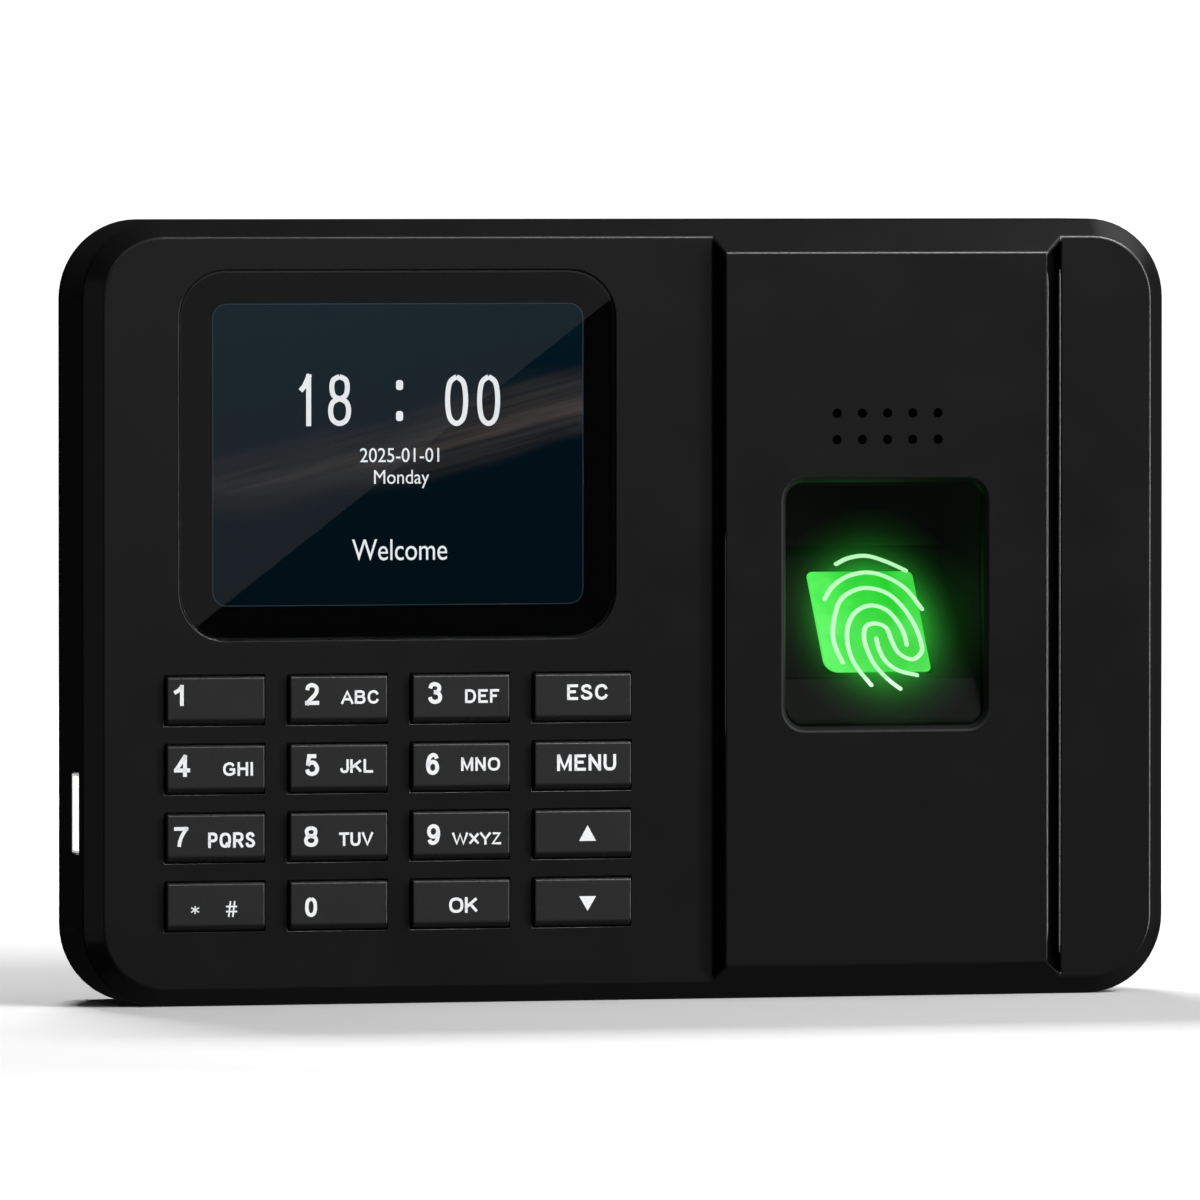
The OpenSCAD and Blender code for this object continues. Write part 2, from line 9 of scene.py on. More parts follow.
import bmesh
import bpy
from mathutils import Euler, Matrix, Vector


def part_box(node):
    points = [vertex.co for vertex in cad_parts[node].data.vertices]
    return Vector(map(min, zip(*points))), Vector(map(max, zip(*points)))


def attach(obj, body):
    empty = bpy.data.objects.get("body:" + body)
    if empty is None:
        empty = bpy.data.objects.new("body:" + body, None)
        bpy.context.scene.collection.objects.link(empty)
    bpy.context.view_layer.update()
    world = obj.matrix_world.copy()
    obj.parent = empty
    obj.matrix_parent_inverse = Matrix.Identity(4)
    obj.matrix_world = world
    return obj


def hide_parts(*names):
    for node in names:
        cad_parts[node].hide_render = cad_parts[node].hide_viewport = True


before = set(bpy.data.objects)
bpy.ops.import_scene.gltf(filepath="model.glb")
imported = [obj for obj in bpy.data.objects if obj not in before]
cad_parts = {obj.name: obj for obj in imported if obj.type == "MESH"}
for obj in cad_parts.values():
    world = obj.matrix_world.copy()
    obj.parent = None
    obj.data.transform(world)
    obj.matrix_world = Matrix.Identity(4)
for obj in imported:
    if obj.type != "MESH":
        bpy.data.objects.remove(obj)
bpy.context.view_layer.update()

MM = 0.001
BODY = "housing"
WELD_DISTANCE = 2e-6

# The face that carries the screen and the keys, and the body's outer limits
FRONT_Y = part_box("screen_lens")[0][1]
BODY_MIN = Vector(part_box("front_shell")[0])
BODY_MAX = Vector(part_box("front_shell")[1])
BACK_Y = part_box("rear_shell")[1][1]

KEY_NAMES = [
    "key_1", "key_2", "key_3", "key_esc",
    "key_4", "key_5", "key_6", "key_menu",
    "key_7", "key_8", "key_9", "key_up",
    "key_star_hash", "key_0", "key_ok", "key_down",
]


def centre_of(node):
    """Middle of a node's box."""
    low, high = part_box(node)
    return (Vector(low) + Vector(high)) / 2


def box_around(centre, reach):
    """The box x0, x1, z0, z1 in metres, from its reach from a centre in millimetres."""
    x0, x1, z0, z1 = [value * MM for value in reach]
    return (centre.x + x0, centre.x + x1, centre.z + z0, centre.z + z1)


def depth_of(y):
    """Depth in millimetres behind the front face."""
    return (y - FRONT_Y) / MM


# ---- Materials ----

class Paint:
    """A node material with a Principled shader, and short ways to add nodes to it."""

    def __init__(self, name="", material=None):
        self.material = material or bpy.data.materials.new(name)
        self.material.use_nodes = True
        self.tree = self.material.node_tree
        self.shader = self.tree.nodes["Principled BSDF"]
        self.place = self.add("ShaderNodeTexCoord").outputs["Object"]

    def add(self, kind, **settings):
        node = self.tree.nodes.new(kind)
        for key, value in settings.items():
            setattr(node, key, value)
        return node

    def link(self, source, target):
        self.tree.links.new(source, target)

    def set(self, **values):
        """Sets the shader's own sockets. An underscore stands for a space."""
        for key, value in values.items():
            self.shader.inputs[key.replace("_", " ")].default_value = value

    def moved(self, scale=(1, 1, 1), turn=(0, 0, 0)):
        """Object coordinates, scaled and turned."""
        mapping = self.add("ShaderNodeMapping")
        mapping.inputs["Scale"].default_value = scale
        mapping.inputs["Rotation"].default_value = turn
        self.link(self.place, mapping.inputs["Vector"])
        return mapping.outputs["Vector"]

    def drawn_out(self, stretch, climb):
        """Object coordinates stretched along a line that climbs from left to right."""
        mapping = self.add("ShaderNodeMapping", vector_type="TEXTURE")
        mapping.inputs["Scale"].default_value = (stretch, 1, 1)
        mapping.inputs["Rotation"].default_value = (0, -climb, 0)
        self.link(self.place, mapping.inputs["Vector"])
        return mapping.outputs["Vector"]

    def noise(self, scale, detail=3.0, rough=0.5, vector=None):
        """Noise with so many lumps to a metre."""
        node = self.add("ShaderNodeTexNoise")
        node.inputs["Scale"].default_value = scale
        node.inputs["Detail"].default_value = detail
        node.inputs["Roughness"].default_value = rough
        self.link(vector or self.place, node.inputs["Vector"])
        return node.outputs["Fac"]

    def ramp(self, value, stops, smooth=False):
        """A colour ramp through (place, colour) stops."""
        node = self.add("ShaderNodeValToRGB")
        elements = node.color_ramp.elements
        elements[0].position, elements[0].color = stops[0]
        elements[1].position, elements[1].color = stops[-1]
        for place, colour in stops[1:-1]:
            elements.new(place).color = colour
        if smooth:
            node.color_ramp.interpolation = "EASE"
        self.link(value, node.inputs["Fac"])
        return node.outputs["Color"]

    def span(self, value, low, high, start=0.0, stop=1.0):
        """Maps start..stop to low..high."""
        node = self.add("ShaderNodeMapRange")
        node.inputs["From Min"].default_value = start
        node.inputs["From Max"].default_value = stop
        node.inputs["To Min"].default_value = low
        node.inputs["To Max"].default_value = high
        self.link(value, node.inputs["Value"])
        return node.outputs["Result"]

    def math(self, operation, *values):
        node = self.add("ShaderNodeMath", operation=operation)
        for socket, value in zip(node.inputs, values):
            if isinstance(value, (int, float)):
                socket.default_value = value
            else:
                self.link(value, socket)
        return node.outputs["Value"]

    def mix(self, factor, first, fixed):
        """Mixes a colour with a fixed one."""
        node = self.add("ShaderNodeMix", data_type="RGBA")
        self.link(factor, node.inputs[0])
        self.link(first, node.inputs[6])
        node.inputs[7].default_value = fixed
        return node.outputs[2]

    def gloss(self, value, low, high):
        """Roughness between two values, led by a noise."""
        self.link(self.span(value, low, high, 0.3, 0.7), self.shader.inputs["Roughness"])

    def tint(self, value, colour, low, high, ends=(0.3, 0.7), socket="Base Color"):
        """A colour that varies between two of its shades, led by a noise."""
        stops = [(ends[0], shade(colour, low)), (ends[1], shade(colour, high))]
        self.link(self.ramp(value, stops), self.shader.inputs[socket])

    def bump(self, height, depth, strength=1.0):
        """Bump from a height, with its full depth in metres."""
        node = self.add("ShaderNodeBump")
        node.inputs["Strength"].default_value = strength
        node.inputs["Distance"].default_value = depth
        self.link(height, node.inputs["Height"])
        self.link(node.outputs["Normal"], self.shader.inputs["Normal"])


def shade(colour, factor):
    return (*[min(1.0, channel * factor) for channel in colour[:3]], 1.0)


def moulded(name, colour, rough, spread=0.12, grain=1500.0, relief=0.012, patch=45.0, **more):
    """Moulded plastic or rubber: faint cloudy colour, uneven gloss and a fine grain."""
    paint = Paint(name)
    cloud = paint.noise(patch, 4.0)
    paint.tint(cloud, colour, 1 - spread, 1 + spread)
    paint.gloss(paint.noise(patch * 3.1, 3.0), rough - 0.02, rough + 0.02)
    paint.bump(paint.noise(grain, 2.0), relief * MM, 0.35)
    paint.set(**more)
    return paint.material


def metal(name, colour, rough, stretch=(1, 1, 12), grain=900.0, spread=0.1):
    """Metal with fine brushed lines and a slightly uneven polish."""
    paint = Paint(name)
    lines = paint.noise(grain, 4.0, 0.6, paint.moved(scale=stretch))
    paint.tint(lines, colour, 1 - spread, 1 + spread, (0.25, 0.75))
    paint.gloss(paint.noise(120.0, 3.0), rough - 0.07, rough + 0.07)
    paint.bump(lines, 0.004 * MM, 0.3)
    paint.set(Metallic=1.0)
    return paint.material


def board_paint(name, colour, trace):
    """Solder mask over straight copper tracks."""
    paint = Paint(name)
    brick = paint.add("ShaderNodeTexBrick", offset=0.35, squash=1.0)
    brick.inputs["Scale"].default_value = 180.0
    brick.inputs["Mortar Size"].default_value = 0.06
    brick.inputs["Color1"].default_value = colour
    brick.inputs["Color2"].default_value = shade(colour, 1.25)
    brick.inputs["Mortar"].default_value = trace
    paint.link(paint.moved(turn=(math.pi / 2, 0, 0)), brick.inputs["Vector"])
    paint.link(brick.outputs["Color"], paint.shader.inputs["Base Color"])
    paint.gloss(paint.noise(160.0), 0.3, 0.45)
    paint.bump(brick.outputs["Fac"], 0.02 * MM, 0.4)
    return paint.material


def socket_with_painted_glow(name, colour):
    """Pale parts inside the socket, with a painted glow that makes them look brightly lit though
    they sit in shade.
    """
    paint = Paint(name)
    cloud = paint.noise(300.0, 3.0)
    paint.tint(cloud, colour, 0.96, 1.04)
    paint.tint(cloud, colour, 0.50, 0.56, socket="Emission Color")
    paint.gloss(paint.noise(400.0, 2.0), 0.4, 0.55)
    paint.bump(paint.noise(1500.0, 2.0), 0.006 * MM, 0.3)
    paint.set(Emission_Strength=1.0)
    return paint.material


SHELL_COLOUR = (0.0080, 0.0081, 0.0082, 1)
KEY_COLOUR = (0.0250, 0.0252, 0.0256, 1)

shell_paint = moulded(
    "shell_plastic", SHELL_COLOUR, 0.24, spread=0.04, grain=2600.0, relief=0.005, patch=28.0,
    Specular_IOR_Level=0.40,
)
# Near-black, dull plastic on the grooves' floors and walls: painted shade, much darker than the
# shell plastic around it
groove_shade_paint = moulded(
    "groove_painted_shade", (0.0022, 0.0022, 0.0023, 1), 0.7, spread=0.3, grain=1200.0, relief=0.02,
    Specular_IOR_Level=0.08,
)
rim_paint = moulded(
    "rim_plastic", (0.0075, 0.0076, 0.0077, 1), 0.55, spread=0.05, grain=2600.0, relief=0.006,
    Specular_IOR_Level=0.22,
)
# A pale, polished copy of the shell plastic for the rods beside the grooves: its light colour is
# painted highlight
bead_highlight_paint = moulded(
    "bead_plastic_painted_highlight", (0.050, 0.050, 0.051, 1), 0.32, spread=0.05, grain=2600.0, relief=0.001,
    Specular_IOR_Level=1.0,
)
key_paint = moulded(
    "key_plastic", KEY_COLOUR, 0.28, spread=0.05, grain=2600.0, relief=0.006,
    Specular_IOR_Level=0.35,
)
# Plastic of the finger well, much darker and duller than the shell: painted shade in the deep
# well. It also carries the painted green glow added below
well_shade_and_glow_paint = moulded(
    "well_plastic_painted_shade_and_glow", (0.0018, 0.0019, 0.0018, 1), 0.5, spread=0.06, grain=2600.0, relief=0.006,
    Specular_IOR_Level=0.03,
)

NODE_PAINTS = {
    "lens_adhesive": moulded("foam_tape", (0.02, 0.02, 0.02, 1), 0.8, spread=0.3),
    "lcd_backlight": moulded("white_film", (0.75, 0.75, 0.72, 1), 0.5, spread=0.04),
    "lcd_frame": metal("display_steel", (0.55, 0.56, 0.57, 1), 0.35),
    "lcd_ribbon": moulded("ribbon_film", (0.45, 0.2, 0.035, 1), 0.35, grain=400.0),
    "lcd_connector": moulded("connector_nylon", (0.72, 0.68, 0.55, 1), 0.5, spread=0.05),
    "main_board": board_paint("main_board_mask", (0.008, 0.085, 0.03, 1), (0.03, 0.2, 0.07, 1)),
    "processor": moulded("chip_resin", (0.012, 0.012, 0.013, 1), 0.5),
    "memory_chips": moulded("memory_resin", (0.014, 0.014, 0.015, 1), 0.55),
    "capacitors": moulded("capacitor_sleeve", (0.025, 0.03, 0.045, 1), 0.3),
    "small_parts": moulded("ceramic_parts", (0.3, 0.22, 0.13, 1), 0.5, spread=0.3),
    "coin_cell": metal("cell_steel", (0.62, 0.62, 0.63, 1), 0.25, stretch=(1, 1, 1)),
    "coin_holder": moulded("holder_nylon", (0.012, 0.012, 0.012, 1), 0.5),
    "board_sockets": moulded("socket_nylon", (0.7, 0.66, 0.54, 1), 0.5, spread=0.05),
    "keypad_mat": moulded("mat_silicone", (0.07, 0.075, 0.085, 1), 0.6),
    "key_domes": moulded("dome_silicone", (0.08, 0.085, 0.095, 1), 0.6),
    "key_contacts": metal("contact_gold", (0.75, 0.5, 0.18, 1), 0.3),
    "usb_shell": socket_with_painted_glow("socket_tin_painted_glow", (0.9, 0.9, 0.88, 1)),
    "usb_tongue": socket_with_painted_glow("tongue_nylon_painted_glow", (0.88, 0.88, 0.86, 1)),
    "dc_jack": moulded("jack_nylon", (0.01, 0.01, 0.01, 1), 0.4),
    "dc_pin": metal("pin_nickel", (0.6, 0.6, 0.6, 1), 0.25, stretch=(12, 1, 1)),
    "power_wires": moulded("red_sleeve", (0.35, 0.012, 0.012, 1), 0.4),
    "speaker_mesh": moulded("dust_cloth", (0.012, 0.012, 0.012, 1), 0.9, grain=6000.0),
    "speaker_frame": metal("speaker_steel", (0.5, 0.5, 0.5, 1), 0.4),
    "speaker_cone": moulded("cone_paper", (0.02, 0.02, 0.022, 1), 0.8, grain=3000.0),
    "speaker_magnet": metal("magnet_steel", (0.3, 0.3, 0.31, 1), 0.4),
    "speaker_wires": moulded("black_sleeve", (0.012, 0.012, 0.012, 1), 0.4),
    "sensor_housing": moulded("reader_nylon", (0.01, 0.01, 0.01, 1), 0.5),
    "sensor_lens": moulded("reader_glass", (0.015, 0.018, 0.022, 1), 0.12, relief=0.001),
    "sensor_leds": moulded("lamp_resin", (0.6, 0.75, 0.6, 1), 0.2, spread=0.05),
    "sensor_board": board_paint("reader_mask", (0.008, 0.085, 0.03, 1), (0.03, 0.2, 0.07, 1)),
    "sensor_cable": moulded("grey_sleeve", (0.4, 0.4, 0.4, 1), 0.4),
    "wall_plate": metal("plate_zinc", (0.5, 0.51, 0.52, 1), 0.38, stretch=(1, 1, 9)),
}
for screws in ("housing_screws", "board_screws", "sensor_screws", "plate_screw"):
    NODE_PAINTS[screws] = metal(screws + "_zinc", (0.5, 0.5, 0.5, 1), 0.35, stretch=(1, 1, 1))


def dress(piece, paint):
    """Gives an object one material on every slot."""
    if not piece.material_slots:
        piece.data.materials.append(None)
    for spot in piece.material_slots:
        spot.link = "OBJECT"
        spot.material = paint


# ---- Mesh helpers ----

def new_piece(name, mesh, paint, body=BODY, replaces=None):
    """Makes an object from a bmesh, and rides it on its body."""
    data = bpy.data.meshes.new(name)
    mesh.to_mesh(data)
    mesh.free()
    piece = bpy.data.objects.new(name, data)
    bpy.context.scene.collection.objects.link(piece)
    data.materials.append(paint)
    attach(piece, body)
    if replaces:
        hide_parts(replaces)
    return piece


def is_square_on(face):
    """True for a face that looks straight along X, Y or Z."""
    return max(abs(part) for part in face.normal) > 0.99999


def smooth(piece, sharp_angle=32):
    """Smooth shading that keeps flat faces flat and large angles crisp."""
    mesh = bmesh.new()
    mesh.from_mesh(piece.data)
    for face in mesh.faces:
        face.smooth = True
    for edge in mesh.edges:
        if len(edge.link_faces) != 2:
            continue
        steep = edge.calc_face_angle(0) > math.radians(sharp_angle)
        border = is_square_on(edge.link_faces[0]) != is_square_on(edge.link_faces[1])
        edge.smooth = not (steep or border)
    mesh.to_mesh(piece.data)
    mesh.free()
    normals = piece.modifiers.new("normals", "WEIGHTED_NORMAL")
    normals.keep_sharp = True
    normals.weight = 80


def cad_mesh(node, split_flats=False):
    """A CAD node's mesh with welded seams and merged flat faces."""
    mesh = bmesh.new()
    mesh.from_mesh(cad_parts[node].data)
    bmesh.ops.remove_doubles(mesh, verts=mesh.verts, dist=WELD_DISTANCE)
    bmesh.ops.dissolve_limit(
        mesh, angle_limit=math.radians(1), verts=mesh.verts, edges=mesh.edges
    )
    if split_flats:
        large = [face for face in mesh.faces if len(face.verts) > 4]
        bmesh.ops.triangulate(mesh, faces=large, ngon_method="BEAUTY")
    return mesh


def refill(mesh, y):
    """Makes the flat face in one plane anew, so that it has no slivers left by rounding."""
    old = [
        face for face in mesh.faces
        if abs(face.normal.y) > 0.999 and all(abs(v.co.y - y) < 0.004 * MM for v in face.verts)
    ]
    inside = set(old)
    rim = [
        edge for face in old for edge in face.edges
        if len([other for other in edge.link_faces if other in inside]) == 1
    ]
    rim = list(dict.fromkeys(rim))
    bmesh.ops.delete(mesh, geom=old, context="FACES")
    rim = [edge for edge in rim if edge.is_valid]
    bmesh.ops.triangle_fill(mesh, edges=rim, use_beauty=True, use_dissolve=False)
    bmesh.ops.recalc_face_normals(mesh, faces=mesh.faces)


def round_edges(mesh, width, wanted, least_angle=15, segments=3):
    """Rounds the edges steeper than an angle whose middle passes a test."""
    edges = []
    for edge in mesh.edges:
        if len(edge.link_faces) != 2 or edge.calc_face_angle(0) < math.radians(least_angle):
            continue
        middle = (edge.verts[0].co + edge.verts[1].co) / 2
        if wanted(middle):
            edges.append(edge)
    bmesh.ops.bevel(
        mesh, geom=edges, offset=width, segments=segments, profile=0.5,
        affect="EDGES", clamp_overlap=False, loop_slide=True, miter_outer="SHARP",
    )


def rounded_outline(centre, size, radii, inset=0.0, steps=9):
    """Points around a rectangle with rounded corners, drawn in by an inset.

    radii is one radius, or one for each corner, counted from the one at the upper right."""
    if isinstance(radii, float):
        radii = [radii] * 4
    half = (size[0] / 2 - inset, size[1] / 2 - inset)
    points = []
    for corner, radius in enumerate(radii):
        bend = max(radius - inset, 0.02 * MM)
        sign_u = (1, -1, -1, 1)[corner]
        sign_v = (1, 1, -1, -1)[corner]
        middle = (centre[0] + sign_u * (half[0] - bend), centre[1] + sign_v * (half[1] - bend))
        for step in range(steps + 1):
            angle = math.radians(90) * (corner + step / steps)
            point = (middle[0] + bend * math.cos(angle), middle[1] + bend * math.sin(angle))
            points.append(point)
    return points


def loft(rings, closed_ends=True):
    """A bmesh skinned through rings of equally many points."""
    mesh = bmesh.new()
    loops = [[mesh.verts.new(point) for point in ring] for ring in rings]
    count = len(loops[0])
    for near, far in zip(loops, loops[1:]):
        for i in range(count):
            j = (i + 1) % count
            mesh.faces.new((near[i], near[j], far[j], far[i]))
    if closed_ends:
        mesh.faces.new(loops[0])
        mesh.faces.new(list(reversed(loops[-1])))
    bmesh.ops.recalc_face_normals(mesh, faces=mesh.faces)
    return mesh


# ---- Shells ----

PANEL_Y = BODY_MIN.y
SKIN = 0.12


def rim_distance(point, shrink=0.0, radius=13.2 * MM):
    """Distance in from the body's rounded outline, seen from the front."""
    high = (BODY_MAX - BODY_MIN) / 2
    middle = (BODY_MAX + BODY_MIN) / 2
    bend = radius - shrink
    x = abs(point.x - middle.x) - (high.x - radius)
    z = abs(point.z - middle.z) - (high.z - radius)
    if x > 0 and z > 0:
        return bend - math.hypot(x, z)
    return bend - max(x, z)


def on_front_shell(point):
    """True for the edges of the front shell that show from outside."""
    depth = depth_of(point.y)
    if rim_distance(point) < 1.2 * MM:
        return True
    behind_panel = 17.5 * MM < point.x < 69.7 * MM and 7.5 * MM < point.z < 122.5 * MM
    limit = -SKIN if behind_panel else 2.0
    return depth < limit


def in_groove(point):
    """True on the floors and walls of the two grooves beside the raised panel."""
    beside = abs(point.x - 14.81 * MM) < 0.80 * MM or abs(point.x - 73.23 * MM) < 1.58 * MM
    return beside and 0.3 < depth_of(point.y) < 2.0 and 3 * MM < point.z < 127 * MM


KEYPAD_BOX = (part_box("key_star_hash")[0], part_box("key_esc")[1])
LENS_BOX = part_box("screen_lens")
EDGE_REACH = 0.6 * MM


def near(point, box):
    """True close to a box, seen from the front."""
    low, high = box
    across = low[0] - EDGE_REACH < point.x < high[0] + EDGE_REACH
    return across and low[2] - EDGE_REACH < point.z < high[2] + EDGE_REACH


def in_fine_area(point):
    """True for the edges of the key openings and of the pocket that holds the lens."""
    return near(point, KEYPAD_BOX) or near(point, LENS_BOX)


def in_grille(point):
    """True around the speaker's holes."""
    low, high = GRILLE_BOX
    return low[0] < point.x < high[0] and low[1] < point.z < high[1]


# Pale polished rods beside the grooves that stand in for painted highlight lines: x, depth and
# radius in millimetres, then the two ends in z
HIGHLIGHT_BEADS = [
    (71.72, -2.07, 0.22, 9.0, 121.0),
    (74.62, 0.20, 0.20, 7.0, 121.5),
    (15.60, -2.15, 0.13, 44.0, 78.0),
]
GRILLE_CENTRE = (43.7 * MM, 95.4 * MM)
GRILLE_BOX = (
    (GRILLE_CENTRE[0] - 12 * MM, GRILLE_CENTRE[1] - 5 * MM),
    (GRILLE_CENTRE[0] + 12 * MM, GRILLE_CENTRE[1] + 5 * MM),
)


def is_fine_edge(point):
    """True for the edges of the front face that stay nearly crisp."""
    return on_front_shell(point) and in_fine_area(point)


def is_shell_edge(point):
    """True for the front shell's other edges, apart from the speaker's holes."""
    return on_front_shell(point) and not in_grille(point) and not in_fine_area(point)


def is_opening_rim(face):
    """True for the rounded rim and the walls of the finger opening."""
    middle = face.calc_center_median()
    near = 24 * MM < middle.x < 63 * MM and 43 * MM < middle.z < 88.5 * MM
    return near and abs(face.normal.y) < 0.9999


def make_front_shell():
    mesh = cad_mesh("front_shell")
    round_edges(mesh, 0.10 * MM, is_fine_edge)
    round_edges(mesh, 0.28 * MM, is_shell_edge)
    for vert in mesh.verts:
        vert.co.y = max(vert.co.y, PANEL_Y)
    refill(mesh, PANEL_Y)
    refill(mesh, FRONT_Y)
    for face in mesh.faces:
        # Faces in the grooves get the painted shade; the finger opening's rim and walls get a
        # duller plastic
        if in_groove(face.calc_center_median()):
            face.material_index = 1
        elif is_opening_rim(face):
            face.material_index = 2
    shell = new_piece("front_shell_skin", mesh, shell_paint, replaces="front_shell")
    shell.data.materials.append(groove_shade_paint)
    shell.data.materials.append(rim_paint)
    smooth(shell)
    return shell


def on_rear_shell(point):
    """True for the edges of the rear shell that show from outside."""
    depth = depth_of(point.y)
    shrink = 5 * MM * max(0.0, depth - 18.9) / 14.1
    outer = rim_distance(point, shrink) < 1.2 * MM
    in_bay = abs(point.x - 1 * MM) < 25.2 * MM and abs(point.z - 61 * MM) < 9.2 * MM
    return outer or depth > 31.0 or (in_bay and depth > 20.2)


def make_rear_shell():
    mesh = cad_mesh("rear_shell")
    round_edges(mesh, 0.3 * MM, on_rear_shell)
    refill(mesh, BACK_Y)
    shell = new_piece("rear_shell_skin", mesh, shell_paint, replaces="rear_shell")
    smooth(shell)
    return shell


def in_finger_space(point):
    """True for the edges of the finger well that show through the opening."""
    depth = depth_of(point.y)
    return 25 * MM < point.x < 62 * MM and 45 * MM < point.z < 87 * MM and depth < 13


# Faint painted glow that stays on the far ends of the finger well and lifts their shade
PAINTED_GLOW_FAR = (0.0018, 0.0030, 0.0018, 1)
# The painted glow reaches further forward than sideways
PAINTED_GLOW_SHAPE = (1.0, 0.45, 0.94)


def add_painted_glow(material, centre):
    """Painted green glow on the plastic around the window: emission that fades with distance, not
    light from a lamp.
    """
    paint = Paint(material=material)
    squash = paint.add("ShaderNodeVectorMath", operation="MULTIPLY")
    squash.inputs[1].default_value = PAINTED_GLOW_SHAPE
    distance = paint.add("ShaderNodeVectorMath", operation="DISTANCE")
    distance.inputs[1].default_value = [a * b for a, b in zip(centre, PAINTED_GLOW_SHAPE)]
    stops = [(0.0, (0.016, 0.32, 0.022, 1))]
    for position, level in ((0.2, 0.15), (0.35, 0.075), (0.5, 0.036), (0.65, 0.015), (0.8, 0.006)):
        lit = (0.055 * level + PAINTED_GLOW_FAR[0], level + PAINTED_GLOW_FAR[1], 0.075 * level + PAINTED_GLOW_FAR[2], 1)
        stops.append((position, lit))
    stops.append((1.0, PAINTED_GLOW_FAR))
    paint.link(paint.place, squash.inputs[0])
    paint.link(squash.outputs["Vector"], distance.inputs[0])
    fade = paint.span(distance.outputs["Value"], 0.0, 1.0, 8 * MM, 18 * MM)
    paint.link(paint.ramp(fade, stops), paint.shader.inputs["Emission Color"])
    paint.set(Emission_Strength=1.0)


def make_well():
    add_painted_glow(well_shade_and_glow_paint, slope_point(1.2 * MM, -0.2 * MM))
    mesh = cad_mesh("sensor_well", split_flats=True)
    round_edges(mesh, 0.18 * MM, in_finger_space, least_angle=12)
    well = new_piece("finger_well", mesh, well_shade_and_glow_paint, replaces="sensor_well")
    smooth(well)
    return well


# ---- Keys and their legends ----

LEGEND_RISE = 0.03 * MM

